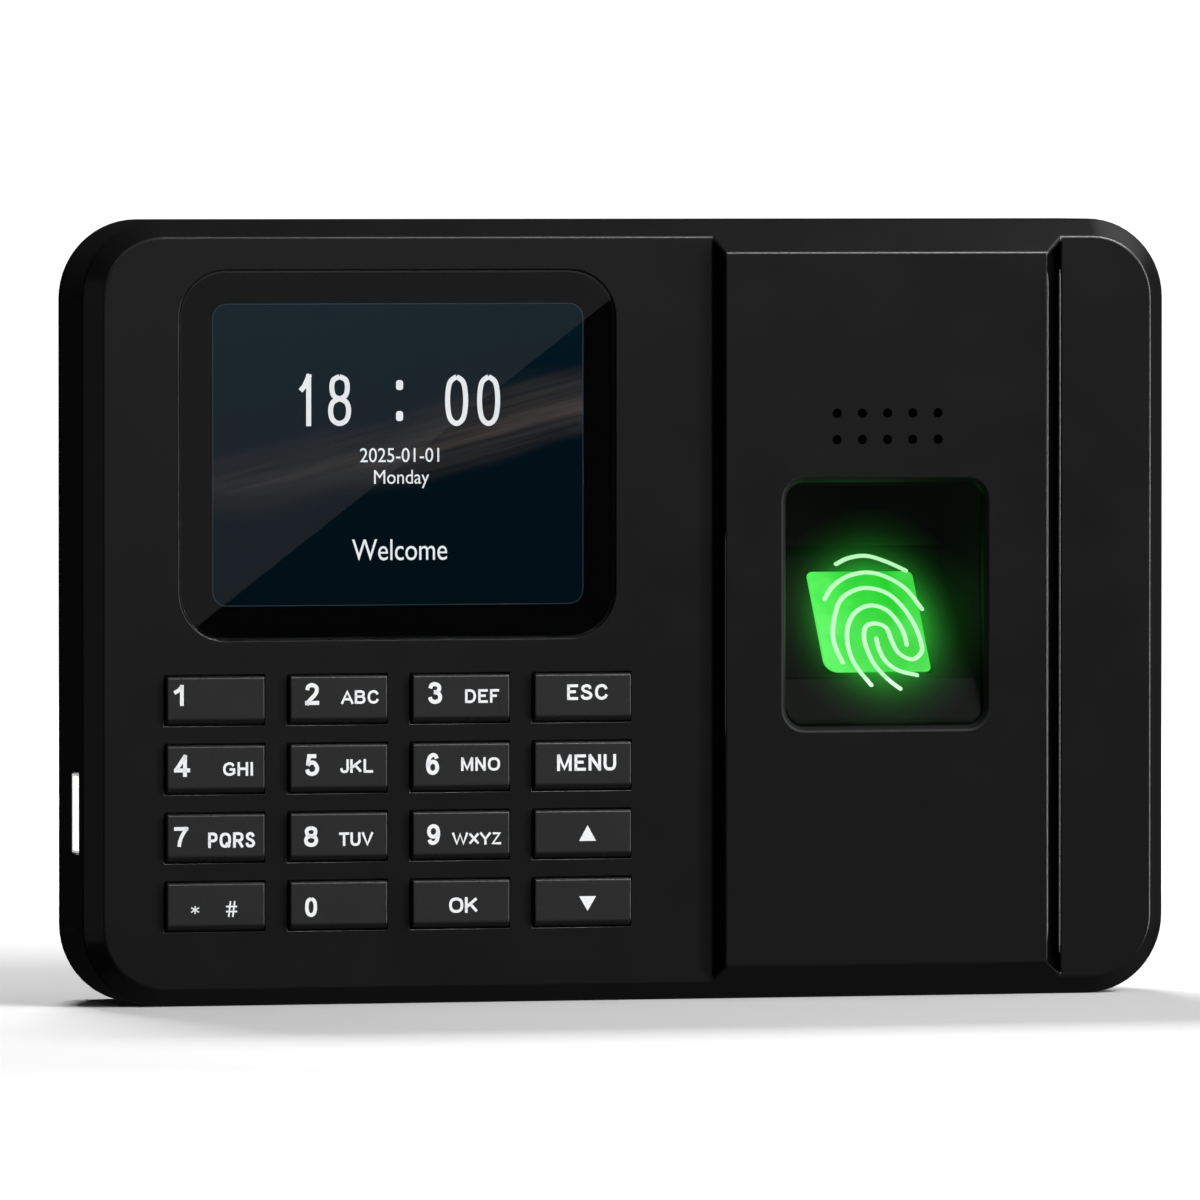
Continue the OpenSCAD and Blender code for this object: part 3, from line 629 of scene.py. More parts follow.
# Strokes of each letter, in hundredths of its box. A word before the points says whether
# they are joined by straight lines or by a smooth curve.
OVAL = ("curve", (50, 100), (88, 87), (100, 50), (88, 13), (50, 0), (12, 13), (0, 50), (12, 87),
        (50, 100))
STEM = ("line", (0, 0), (0, 100))
FAR_STEM = ("line", (100, 0), (100, 100))
BOWL = ("curve", (0, 100), (40, 100), (62, 100), (93, 91), (100, 73), (93, 54), (62, 45),
        (40, 45), (0, 45))
SIX = ("curve", (95, 80), (83, 95), (53, 100), (17, 86), (0, 48), (12, 12), (50, 0), (88, 10),
       (100, 32), (88, 54), (52, 63), (17, 53), (3, 36))
GLYPHS = {
    "0": [OVAL],
    "O": [OVAL],
    "I": [("line", (50, 0), (50, 100))],
    "1": [("line", (0, 70), (45, 80), (94, 100)), ("line", (94, 100), (94, 0))],
    "2": [("curve", (2, 72), (13, 92), (48, 100), (88, 90), (96, 70), (80, 47), (35, 20), (6, 0)),
           ("line", (0, 0), (100, 0))],
    "3": [("curve", (3, 76), (15, 94), (48, 100), (83, 91), (91, 74), (75, 58), (38, 54)),
           ("curve", (38, 54), (80, 49), (100, 28), (86, 7), (47, 0), (12, 8), (0, 27))],
    "4": [("line", (74, 0), (74, 100)), ("line", (72, 100), (2, 28)), ("line", (0, 25),
           (100, 25))],
    "5": [("line", (92, 100), (20, 100), (9, 47)), ("curve", (9, 49), (35, 62), (72, 61),
           (100, 34), (86, 8), (47, 0), (13, 7), (0, 25))],
    "6": [SIX],
    "9": [("curve", *[(100 - u, 100 - v) for u, v in SIX[1:]])],
    "7": [("line", (0, 100), (100, 100)), ("curve", (100, 100), (62, 60), (40, 25), (33, 0))],
    "8": [("curve", (50, 100), (84, 93), (93, 77), (83, 60), (50, 53), (17, 60), (7, 77),
           (16, 93), (50, 100)), ("curve", (50, 53), (88, 45), (100, 27), (88, 8), (50, 0),
           (12, 8), (0, 27), (12, 45), (50, 53))],
    "A": [("line", (0, 0), (50, 100), (100, 0)), ("line", (18, 31), (82, 31))],
    "B": [STEM, ("curve", (0, 100), (45, 100), (62, 100), (88, 92), (92, 77), (84, 60), (60, 54),
           (45, 54), (0, 54)), ("curve", (45, 54), (70, 53), (94, 43), (100, 27), (92, 8),
           (64, 0), (45, 0), (0, 0))],
    "C": [("curve", (97, 72), (80, 93), (50, 100), (13, 86), (0, 50), (13, 14), (50, 0), (82, 8),
           (100, 30))],
    "D": [STEM, ("curve", (0, 100), (30, 100), (52, 100), (86, 86), (100, 50), (86, 14), (52, 0),
           (30, 0), (0, 0))],
    "E": [STEM, ("line", (0, 100), (100, 100)), ("line", (0, 0), (100, 0)), ("line", (0, 53),
           (90, 53))],
    "F": [STEM, ("line", (0, 100), (100, 100)), ("line", (0, 52), (85, 52))],
    "G": [("curve", (94, 77), (78, 95), (50, 100), (13, 86), (0, 50), (13, 14), (50, 0), (82, 7),
           (100, 17)), ("line", (100, 13), (100, 47), (55, 47))],
    "H": [STEM, FAR_STEM, ("line", (0, 52), (100, 52))],
    "J": [("curve", (100, 100), (100, 60), (100, 30), (86, 5), (50, 0), (13, 6), (0, 32))],
    "K": [STEM, ("line", (97, 100), (0, 33)), ("line", (36, 60), (100, 0))],
    "L": [STEM, ("line", (0, 0), (100, 0))],
    "M": [STEM, FAR_STEM, ("line", (3, 100), (50, 6), (97, 100))],
    "N": [STEM, FAR_STEM, ("line", (2, 100), (98, 0))],
    "P": [STEM, BOWL],
    "Q": [OVAL, ("line", (58, 27), (102, -4))],
    "R": [STEM, BOWL, ("line", (52, 46), (98, 0))],
    "S": [("curve", (92, 75), (80, 94), (48, 100), (13, 90), (8, 72), (30, 57), (72, 46),
           (98, 27), (86, 6), (47, 0), (12, 7), (0, 27))],
    "T": [("line", (0, 100), (100, 100)), ("line", (50, 100), (50, 0))],
    "U": [("curve", (0, 100), (0, 65), (0, 33), (15, 6), (50, 0), (85, 6), (100, 33), (100, 65),
           (100, 100))],
    "V": [("line", (0, 100), (50, 0), (100, 100))],
    "W": [("line", (0, 100), (26, 0), (50, 96), (74, 0), (100, 100))],
    "X": [("line", (0, 100), (100, 0)), ("line", (0, 0), (100, 100))],
    "Y": [("line", (0, 100), (50, 45), (100, 100)), ("line", (50, 50), (50, 0))],
    "Z": [("line", (4, 100), (97, 100), (3, 0), (100, 0))],
    "#": [("line", (37, 100), (20, 0)), ("line", (82, 100), (64, 0)), ("line", (0, 68),
           (100, 68)), ("line", (0, 32), (100, 32))],
    "*": [("line", (50, 0), (50, 100)), ("line", (0, 80), (100, 20)), ("line", (0, 20),
           (100, 80))],
}
# Width of each letter against its height, and of the gap after it
GLYPH_WIDTHS = {
    "A": 0.95, "B": 0.82, "C": 0.88, "D": 0.84, "E": 0.74, "F": 0.70, "G": 0.92, "H": 0.80,
    "I": 0.20, "J": 0.64, "K": 0.88, "L": 0.70, "M": 0.94, "N": 0.80, "O": 0.95, "P": 0.78,
    "Q": 0.95, "R": 0.86, "S": 0.80, "T": 0.80, "U": 0.80, "V": 0.90, "W": 1.28, "X": 0.88,
    "Y": 0.88, "Z": 0.78,
}
GLYPH_GAP = 0.17
SLANTED_SIDES = "AVWXYTKZ"


def spline(points, per_span=8):
    """A smooth line through points."""
    line = []
    for i in range(len(points) - 1):
        before = points[max(i - 1, 0)]
        start = points[i]
        end = points[i + 1]
        after = points[min(i + 2, len(points) - 1)]
        for step in range(per_span):
            t = step / per_span
            blended = [
                0.5 * (2 * b + (c - a) * t + (2 * a - 5 * b + 4 * c - d) * t * t
                       + (3 * b - a - 3 * c + d) * t ** 3)
                for a, b, c, d in zip(before, start, end, after)
            ]
            line.append(tuple(blended))
    line.append(points[-1])
    return line


def ribbon_sides(line, width):
    """The two sides of a ribbon along a flat line, with mitred corners."""
    lefts = []
    rights = []
    for i, here in enumerate(line):
        towards = (here - line[i - 1]).normalized() if i > 0 else None
        onwards = (line[i + 1] - here).normalized() if i < len(line) - 1 else None
        first = towards or onwards
        second = onwards or towards
        along = (first + second).normalized()
        across = Vector((-along.y, along.x))
        reach = min(1.35, 1 / max(0.2, across.dot(Vector((-first.y, first.x)))))
        lefts.append(here + across * width / 2 * reach)
        rights.append(here - across * width / 2 * reach)
    return lefts, rights


def add_glyph(mesh, letter, box, width, face_y):
    """Adds the strokes of one letter, filling a box."""
    x0, x1, z0, z1 = box
    y = face_y - LEGEND_RISE
    for kind, *hundredths in GLYPHS[letter]:
        points = [(u / 100, v / 100) for u, v in hundredths]
        placed = []
        for u, v in points:
            x = x0 + width / 2 + u * (x1 - x0 - width)
            z = z0 + width / 2 + v * (z1 - z0 - width)
            placed.append((x, z))
        line = spline(placed, 5) if kind == "curve" else placed
        lefts, rights = ribbon_sides(with_square_ends(line, points, width), width)
        left_verts = [mesh.verts.new((p.x, y, p.y)) for p in lefts]
        right_verts = [mesh.verts.new((p.x, y, p.y)) for p in rights]
        for i in range(len(lefts) - 1):
            mesh.faces.new((
                left_verts[i], left_verts[i + 1], right_verts[i + 1], right_verts[i]
            ))


def with_square_ends(line, points, width):
    """Extends an upright stroke's ends to the edge of the letter's box."""
    line = [Vector(point) for point in line]
    for end, inner in ((0, 1), (-1, -2)):
        u, v = points[end]
        along = (line[end] - line[inner]).normalized()
        on_edge = (v in (0, 1) and abs(along.y) > 0.75) or (u in (0, 1) and abs(along.x) > 0.75)
        if on_edge:
            line[end] = line[end] + along * width / 2
    return line


def add_word(mesh, word, box, width, face_y):
    """Adds a word whose letters share out a box by their natural widths."""
    spans = []
    cursor = 0.0
    for i, letter in enumerate(word):
        wide = GLYPH_WIDTHS.get(letter, 1.0)
        spans.append((letter, cursor, cursor + wide))
        cursor += wide
        if i < len(word) - 1:
            slanted = (letter in SLANTED_SIDES) + (word[i + 1] in SLANTED_SIDES)
            cursor += GLYPH_GAP * (1 - 0.4 * slanted)
    x0, x1, z0, z1 = box
    for letter, start, end in spans:
        low = x0 + (x1 - x0) * start / cursor
        high = x0 + (x1 - x0) * end / cursor
        add_glyph(mesh, letter, (low, high, z0, z1), width, face_y)


def glyph_mesh(text):
    """Vertices and faces of a text in its own units, flat."""
    curve = bpy.data.curves.new("glyph", "FONT")
    curve.body = text
    curve.size = 1.0
    curve.resolution_u = 6
    holder = bpy.data.objects.new("glyph", curve)
    bpy.context.scene.collection.objects.link(holder)
    bpy.context.view_layer.update()
    source = holder.evaluated_get(bpy.context.evaluated_depsgraph_get())
    data = bpy.data.meshes.new_from_object(source)
    points = [vertex.co.copy() for vertex in data.vertices]
    faces = [tuple(face.vertices) for face in data.polygons]
    bpy.data.objects.remove(holder)
    bpy.data.curves.remove(curve)
    bpy.data.meshes.remove(data)
    return points, faces


def add_text(mesh, text, box, face_y):
    """Adds a flat text that fills a box (x0, x1, z0, z1) just in front of a face."""
    points, faces = glyph_mesh(text)
    x_low = min(p.x for p in points)
    x_high = max(p.x for p in points)
    y_low = min(p.y for p in points)
    y_high = max(p.y for p in points)
    x0, x1, z0, z1 = box
    vertices = []
    for p in points:
        x = x0 + (p.x - x_low) / (x_high - x_low) * (x1 - x0)
        z = z0 + (p.y - y_low) / (y_high - y_low) * (z1 - z0)
        vertices.append(mesh.verts.new((x, face_y - LEGEND_RISE, z)))
    for face in faces:
        mesh.faces.new([vertices[i] for i in face])


def add_triangle(mesh, box, face_y, up):
    """Adds an arrow head that fills a box."""
    x0, x1, z0, z1 = box
    tip, base = (z1, z0) if up else (z0, z1)
    y = face_y - LEGEND_RISE
    corners = [(x0, y, base), (x1, y, base), ((x0 + x1) / 2, y, tip)]
    mesh.faces.new([mesh.verts.new(corner) for corner in corners])


def thicken(mesh, depth):
    """Turns flat lettering into thin raised ink, with its faces towards the front."""
    mesh.normal_update()
    for face in mesh.faces:
        if face.normal.y > 0:
            face.normal_flip()
    flat = list(mesh.faces)
    raised = bmesh.ops.extrude_face_region(mesh, geom=flat)
    for item in raised["geom"]:
        if isinstance(item, bmesh.types.BMVert):
            item.co.y -= depth
    bmesh.ops.recalc_face_normals(mesh, faces=mesh.faces)


# Each text on a key, with its box from the key's centre in millimetres: x0, x1, z0, z1
KEY_TEXTS = {
    "key_1": [("1", -7.17, -5.46, -0.82, 2.63)],
    "key_2": [("2", -5.82, -3.42, -0.87, 2.75), ("ABC", 0.34, 6.85, -0.76, 1.49)],
    "key_3": [("3", -5.74, -3.33, -0.9, 2.72), ("DEF", 0.62, 6.47, -0.8, 1.47)],
    "key_esc": [("ESC", -2.8, 4.28, -0.47, 2.13)],
    "key_4": [("4", -7.18, -4.45, -1.18, 2.42), ("GHI", 1.17, 6.29, -1.11, 1.15)],
    "key_5": [("5", -5.82, -3.43, -1.26, 2.35), ("JKL", 0.17, 5.82, -0.83, 1.43)],
    "key_6": [("6", -6.09, -3.85, -1.32, 2.31), ("MNO", -0.07, 6.64, -0.72, 1.53)],
    "key_menu": [("MENU", -4.53, 5.66, -0.89, 1.82)],
    "key_7": [("7", -7.18, -4.8, -1.38, 1.89), ("PQRS", -1.39, 6.63, -1.62, 0.93)],
    "key_8": [("8", -6.0, -3.6, -1.65, 1.8), ("TUV", -0.01, 5.82, -1.56, 0.69)],
    "key_9": [("9", -5.92, -3.68, -1.57, 1.88), ("WXYZ", -1.62, 6.81, -1.62, 0.43)],
    "key_star_hash": [("*", -4.3, -2.93, -1.13, 0.17), ("#", 1.67, 3.55, -1.71, 0.91)],
    "key_0": [("0", -5.84, -3.78, -1.88, 1.4)],
    "key_ok": [("OK", -2.14, 2.85, -1.55, 1.04)],
}
KEY_ARROWS = {
    "key_up": (-0.73, 2.2, -1.22, 1.41, True),
    "key_down": (-0.73, 2.2, -1.51, 0.95, False),
}

# White print on the keys that also gives off a faint light of its own: painted light that
# brightens the print
ink_and_glow_paint = moulded(
    "legend_ink_and_glow", (0.78, 0.79, 0.80, 1), 0.5, spread=0.05, grain=3000.0, relief=0.004,
    Emission_Color=(0.78, 0.79, 0.80, 1), Emission_Strength=0.25,
)


# Stroke widths as parts of the letter height
USUAL_STROKE_WEIGHT = 0.185
STROKE_WEIGHTS = {"*": 0.16, "#": 0.105}
THIN_WORD_STROKE = 0.40 * MM


def make_key(name):
    """A key with rounded edges, and the ink on its face."""
    mesh = cad_mesh(name)
    round_edges(mesh, 0.24 * MM, lambda p: depth_of(p.y) < 1.2)
    key = new_piece(name + "_cap", mesh, key_paint, body=name, replaces=name)
    smooth(key)
    centre = centre_of(name)
    face_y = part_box(name)[0][1]
    ink = bmesh.new()
    for text, *reach in KEY_TEXTS.get(name, []):
        height = (reach[3] - reach[2]) * MM
        weight = STROKE_WEIGHTS.get(text, USUAL_STROKE_WEIGHT)
        stroke = max(weight * height, THIN_WORD_STROKE if text == "WXYZ" else 0.0)
        add_word(ink, text, box_around(centre, reach), stroke, face_y)
    if name in KEY_ARROWS:
        *reach, up = KEY_ARROWS[name]
        add_triangle(ink, box_around(centre, reach), face_y, up)
    thicken(ink, 0.02 * MM)
    new_piece(name + "_legend", ink, ink_and_glow_paint, body=name)


# ---- Screen ----

LENS_LOW, LENS_HIGH = [Vector(corner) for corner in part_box("screen_lens")]
LENS_CENTRE = (LENS_LOW + LENS_HIGH) / 2
DISPLAY_LOW, DISPLAY_HIGH = [Vector(corner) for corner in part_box("lcd_panel")]

# Each text on the screen, with its box from the lens's centre: x0, x1, z0, z1
SCREEN_TEXTS = [
    ("2025-01-01", -6.44, 7.13, -1.25, 1.1),
    ("Monday", -4.04, 5.41, -5.57, -2.55),
    ("Welcome", -7.81, 8.5, -17.5, -14.0),
]
CLOCK_DIGITS = [
    ("1", -17.05, -14.72, 4.78, 13.37),
    ("8", -11.91, -7.97, 4.78, 13.37),
    ("0", 8.16, 12.12, 4.69, 13.29),
    ("0", 13.66, 17.63, 4.66, 13.27),
]
CLOCK_STROKE = 0.85
CLOCK_DOTS = [(-0.26, 0.94, 10.69, 12.34), (-0.26, 0.94, 5.56, 7.21)]


def lens_material():
    """Clear acrylic, with a polish that is not quite even."""
    paint = Paint("lens_acrylic")
    paint.set(Transmission_Weight=1.0, IOR=1.49)
    cloud = paint.noise(30.0, 2.0)
    tint = [(0.3, (0.92, 0.95, 0.97, 1)), (0.7, (0.97, 0.98, 1.0, 1))]
    paint.link(paint.ramp(cloud, tint), paint.shader.inputs["Base Color"])
    paint.gloss(paint.noise(60.0, 1.0), 0.0, 0.002)
    return paint.material


def wallpaper_material():
    """A dark blue picture with a soft warm streak, lit from behind."""
    paint = Paint("display_picture")
    paint.set(Roughness=0.6, Emission_Strength=1.0, Specular_IOR_Level=0.0)
    split = paint.add("ShaderNodeSeparateXYZ")
    paint.link(paint.place, split.inputs["Vector"])
    across = paint.span(split.outputs["X"], 0.0, 1.0, DISPLAY_LOW.x, DISPLAY_HIGH.x)
    upward = paint.span(split.outputs["Z"], 0.0, 1.0, DISPLAY_LOW.z, DISPLAY_HIGH.z)
    drift = paint.noise(34.0, 1.0)
    slant = paint.math("SUBTRACT", upward, paint.math("MULTIPLY", across, 0.27))
    ragged = paint.math("ADD", slant, paint.math("MULTIPLY", drift, 0.16))
    night = paint.ramp(ragged, [
        (0.0, (0.0001, 0.0044, 0.0076, 1)),
        (0.45, (0.0002, 0.0050, 0.0085, 1)),
        (0.75, (0.0003, 0.0085, 0.0150, 1)),
        (1.0, (0.0003, 0.0092, 0.0168, 1)),
    ], smooth=True)
    fibres = paint.noise(1100.0, 3.0, 0.6, paint.drawn_out(40, 0.253))
    band = paint.ramp(ragged, [
        (0.35, (0, 0, 0, 1)), (0.43, (0.5, 0.5, 0.5, 1)), (0.48, (1, 1, 1, 1)),
        (0.54, (0.5, 0.5, 0.5, 1)), (0.64, (0, 0, 0, 1)),
    ], smooth=True)
    growing = paint.math("MULTIPLY", band, paint.span(across, 0.30, 1.0))
    streaky = paint.math("MULTIPLY", growing, paint.span(fibres, 0.35, 1.25, 0.3, 0.7))
    picture = paint.mix(streaky, night, (0.062, 0.052, 0.048, 1))
    paint.link(picture, paint.shader.inputs["Emission Color"])
    paint.link(paint.ramp(fibres, [
        (0.3, (0.0006, 0.0008, 0.001, 1)), (0.7, (0.0008, 0.001, 0.0012, 1))
    ]), paint.shader.inputs["Base Color"])
    return paint.material


def glow_material(name, colour, spread=0.05):
    """Something that shines with a slightly uneven light."""
    paint = Paint(name)
    cloud = paint.noise(90.0, 3.0)
    paint.tint(cloud, colour, 1 - spread, 1 + spread, socket="Emission Color")
    paint.tint(cloud, colour, 0.03, 0.05)
    paint.set(Emission_Strength=1.0, Roughness=0.35)
    return paint.material


def flat_ring(outer, inner, y, thickness=0.008 * MM):
    """A thin flat ring between two outlines of equally many points."""
    back = y + thickness
    rings = [
        [(x, y, z) for x, z in outer], [(x, y, z) for x, z in inner],
        [(x, back, z) for x, z in inner], [(x, back, z) for x, z in outer],
        [(x, y, z) for x, z in outer],
    ]
    ring = loft(rings, closed_ends=False)
    bmesh.ops.remove_doubles(ring, verts=ring.verts, dist=1e-7)
    bmesh.ops.recalc_face_normals(ring, faces=ring.faces)
    return ring


def make_screen():
    """Lens, printed border, picture and the texts on it."""
    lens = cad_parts["screen_lens"]
    dress(lens, lens_material())
    edge = lens.modifiers.new("edge", "BEVEL")
    edge.width = 0.12 * MM
    edge.segments = 3
    edge.limit_method = "ANGLE"
    edge.angle_limit = math.radians(40)

    bonded_y = LENS_HIGH.y - 0.03 * MM
    centre = (LENS_CENTRE.x, LENS_CENTRE.z)
    size = (LENS_HIGH.x - LENS_LOW.x, LENS_HIGH.z - LENS_LOW.z)
    view_centre = (-40.05 * MM, 91.1 * MM)
    view_size = (63.7 * MM, 50.0 * MM)
    outer = rounded_outline(centre, size, 7.8 * MM, 0.30 * MM)
    inner = rounded_outline(view_centre, view_size, 2.5 * MM)
    line = rounded_outline(view_centre, view_size, 2.5 * MM, 0.15 * MM)
    border_paint = moulded("border_print", (0.0022, 0.0022, 0.0023, 1), 0.6, grain=2000.0,
                           Specular_IOR_Level=0.0)
    new_piece("lens_border", flat_ring(outer, inner, bonded_y - 0.02 * MM), border_paint)
    line_paint = glow_material("picture_edge_light", (0.012, 0.026, 0.038, 1))
    new_piece("picture_edge", flat_ring(inner, line, bonded_y - 0.012 * MM), line_paint)
    sheet_points = rounded_outline(view_centre, view_size, 2.5 * MM, -0.1 * MM)
    rings = [[(x, bonded_y + step * MM, z) for x, z in sheet_points] for step in (0, 0.01)]
    new_piece("picture_sheet", loft(rings), wallpaper_material())
    face_y = bonded_y - 0.005 * MM + LEGEND_RISE - 0.01 * MM
    texts = bmesh.new()
    for text, *reach in SCREEN_TEXTS:
        add_text(texts, text, box_around(LENS_CENTRE, reach), face_y)
    for digit, *reach in CLOCK_DIGITS:
        add_glyph(texts, digit, box_around(LENS_CENTRE, reach), CLOCK_STROKE * MM, face_y)
    for x0, x1, z0, z1 in CLOCK_DOTS:
        centre = (LENS_CENTRE.x + (x0 + x1) / 2 * MM, LENS_CENTRE.z + (z0 + z1) / 2 * MM)
        outline = rounded_outline(centre, ((x1 - x0) * MM, (z1 - z0) * MM), 0.45 * MM)
        texts.faces.new([texts.verts.new((x, face_y - LEGEND_RISE, z)) for x, z in outline])
    thicken(texts, 0.01 * MM)
    glow = glow_material("screen_text_light", (0.80, 0.83, 0.85, 1))
    new_piece("screen_text", texts, glow)


# ---- Finger reader ----

TILT = math.radians(34.5)
WINDOW_CENTRE = Vector((43.4 * MM, FRONT_Y + 7.3 * MM, 62.6 * MM))
WINDOW_SIZE = (18.6 * MM, 20.05 * MM)
UP_SLOPE = Vector((0, math.sin(TILT), math.cos(TILT)))
OUT_OF_WINDOW = Vector((0, -math.cos(TILT), math.sin(TILT)))
LEDGE_Z = 53.5 * MM
RAMP_TOP = (53.2 * MM, 0.7 * MM)
RAMP_SLOPE = 0.339

# Strokes of a plain finger mark in the window's own axes, in millimetres
MARK_STROKES = [
    [(-3.8, 11.4), (-1.4, 12.6), (1.8, 13.0), (5.1, 11.8), (8.2, 10.0)],
    [(-7.0, 4.4), (-5.2, 6.9), (-2.3, 8.9), (1.3, 9.7), (4.5, 8.8), (7.6, 6.3), (9.7, 2.3)],
    [(-6.0, -8.2), (-6.8, -4.5), (-6.4, -0.9), (-4.6, 3.7), (-2.2, 5.8), (0.7, 6.6),
     (4.0, 5.6), (6.3, 2.9), (7.9, -1.1), (8.4, -5.0), (7.8, -6.7), (6.1, -7.7), (4.1, -6.4),
     (3.3, -3.9), (2.8, -1.4), (1.1, -0.5), (-0.6, -1.0), (-1.3, -2.6), (-1.4, -4.9),
     (-0.6, -8.4), (1.1, -11.3), (3.3, -13.5)],
    [(-1.7, -12.7), (-3.4, -9.8), (-4.4, -6.6), (-4.3, -2.7), (-3.1, 0.5), (-1.2, 2.4),
     (1.1, 3.1), (3.4, 2.2), (4.9, 0.0), (5.7, -2.5), (5.8, -4.8)],
    [(0.7, -3.5), (0.8, -5.6), (1.6, -8.1), (3.5, -9.9), (6.5, -10.8)],
]
STROKE_WIDTH = 0.78 * MM


def slope_point(u, v, out=0.0):
    """A point given in the window's own axes."""
    return WINDOW_CENTRE + Vector((u, 0, 0)) + UP_SLOPE * v + OUT_OF_WINDOW * out


def surface_point(u, v, out):
    """A point just above the slope, or above the ramp where the slope has ended."""
    place = slope_point(u, v)
    if place.z >= LEDGE_Z:
        return place + OUT_OF_WINDOW * out
    top_z, top_depth = RAMP_TOP
    depth = top_depth - (top_z - place.z) * RAMP_SLOPE
    return Vector((place.x, FRONT_Y + depth - out, place.z))


def add_stroke(mesh, points, width, out, rise):
    """Adds a ribbon with round ends that follows the slope."""
    line = [Vector(point) * MM for point in spline(points)]
    sides = []
    for i, here in enumerate(line):
        along = (line[min(i + 1, len(line) - 1)] - line[max(i - 1, 0)]).normalized()
        across = Vector((-along.y, along.x)) * width / 2
        sides.append((here + across, here - across))
    steps = 6
    caps = []
    for end, sign in ((0, -1), (-1, 1)):
        left = sides[end][0] - line[end]
        forward = (line[1] - line[0] if end == 0 else line[-1] - line[-2]).normalized() * sign
        arc = []
        for step in range(1, steps):
            angle = math.pi * step / steps
            offset = left * math.cos(angle) + forward * (width / 2) * math.sin(angle)
            arc.append(line[end] + offset)
        caps.append(arc)
    outline = [left for left, _ in sides] + caps[1]
    outline += [right for _, right in reversed(sides)] + list(reversed(caps[0]))
    low = [mesh.verts.new(surface_point(p.x, p.y, out)) for p in outline]
    high = [mesh.verts.new(surface_point(p.x, p.y, out + rise)) for p in outline]
    count = len(outline)
    for i in range(count):
        j = (i + 1) % count
        mesh.faces.new((low[i], low[j], high[j], high[i]))
    total = len(sides)
    for loop in (low, high):
        lefts = loop[:total]
        rights = list(reversed(loop[total + steps - 1:2 * total + steps - 1]))
        for i in range(total - 1):
            mesh.faces.new((lefts[i], lefts[i + 1], rights[i + 1], rights[i]))
        end_cap = loop[total:total + steps - 1]
        start_cap = loop[2 * total + steps - 1:]
        mesh.faces.new([lefts[-1], *end_cap, rights[-1]])
        mesh.faces.new([rights[0], *start_cap, lefts[0]])


def add_bead(mesh, x, y, radius, z0, z1):
    """Adds a fine upright rod with drawn-in ends."""
    rings = []
    for z, size in ((z0, 0.3), (z0 + 1.5 * MM, 1.0), (z1 - 1.5 * MM, 1.0), (z1, 0.3)):
        ring = []
        for step in range(12):
            angle = math.tau * step / 12
            reach = radius * size
            point = (x + reach * math.cos(angle), y + reach * math.sin(angle), z)
            ring.append(mesh.verts.new(point))
        rings.append(ring)
    for near, far in zip(rings, rings[1:]):
        for i in range(12):
            j = (i + 1) % 12
            mesh.faces.new((near[i], near[j], far[j], far[i]))
    mesh.faces.new(rings[0])
    mesh.faces.new(rings[-1])


def make_highlight_beads():
    """Pale polished rods along the grooves' edges: painted highlight lines, which also catch the
    lamps.
    """
    mesh = bmesh.new()
    for x, depth, radius, z0, z1 in HIGHLIGHT_BEADS:
        y = FRONT_Y + depth * MM
        add_bead(mesh, x * MM, y, radius * MM, z0 * MM, z1 * MM)
    bmesh.ops.recalc_face_normals(mesh, faces=mesh.faces)
    beads = new_piece("groove_highlight_beads", mesh, bead_highlight_paint)
    smooth(beads, 60)


# The window's corner radii: the lower left one is rounder than the others
WINDOW_RADII = (1.1 * MM, 1.1 * MM, 2.4 * MM, 1.1 * MM)


def window_outline(inset):
    return rounded_outline((0.0, 0.0), WINDOW_SIZE, WINDOW_RADII, inset)


def make_reader():
    """The lit window and the mark over it."""
    half_v = WINDOW_SIZE[1] / 2
    rings = []
    for inset, out in ((0.25, 0.0), (0.11, -0.03), (0.03, -0.11), (0.0, -0.25), (0.0, -2.5)):
        outline = window_outline(inset * MM)
        rings.append([slope_point(u, v, out * MM) for u, v in outline])
    foot = window_outline(0.0)
    squeeze = (4 * MM + half_v) / (2 * half_v)
    rings.append([slope_point(u, -half_v + (v + half_v) * squeeze, -8.4 * MM) for u, v in foot])
    window = new_piece(
        "reader_window", loft(rings), window_material(), replaces="sensor_window"
    )
    window.data.materials.append(well_shade_and_glow_paint)
    per_band = len(foot)
    for face in window.data.polygons[3 * per_band:5 * per_band]:
        face.material_index = 1
    smooth(window)
    mark = bmesh.new()
    for stroke in MARK_STROKES:
        add_stroke(mark, stroke, STROKE_WIDTH, 0.04 * MM, 0.03 * MM)
    bmesh.ops.recalc_face_normals(mark, faces=mark.faces)
    mark_paint = glow_material("mark_light", (0.50, 1.0, 0.52, 1), spread=0.04)
    new_piece("finger_mark", mark, mark_paint)


def window_material():
    """Green glass lit from below, brighter along its left edge."""
    paint = Paint("window_light")
    split = paint.add("ShaderNodeSeparateXYZ")
    paint.link(paint.place, split.inputs["Vector"])
    reach = WINDOW_SIZE[0] / 2
    across = paint.span(
        split.outputs["X"], 0.0, 1.0, WINDOW_CENTRE.x - reach, WINDOW_CENTRE.x + reach
    )
    cloud = paint.math("MULTIPLY", paint.noise(190.0, 4.0), 0.9)
    place = paint.math("ADD", across, paint.math("SUBTRACT", cloud, 0.46))
    light = paint.ramp(place, [
        (0.0, (0.095, 0.84, 0.105, 1)),
        (0.3, (0.040, 0.68, 0.050, 1)),
        (0.7, (0.016, 0.58, 0.022, 1)),
        (1.0, (0.055, 0.70, 0.065, 1)),
    ])
    paint.link(light, paint.shader.inputs["Emission Color"])
    paint.link(paint.ramp(cloud, [
        (0.0, (0.003, 0.03, 0.004, 1)), (0.25, (0.004, 0.05, 0.006, 1))
    ]), paint.shader.inputs["Base Color"])
    paint.set(Emission_Strength=1.0, Roughness=0.2)
    return paint.material


# ---- Studio ----

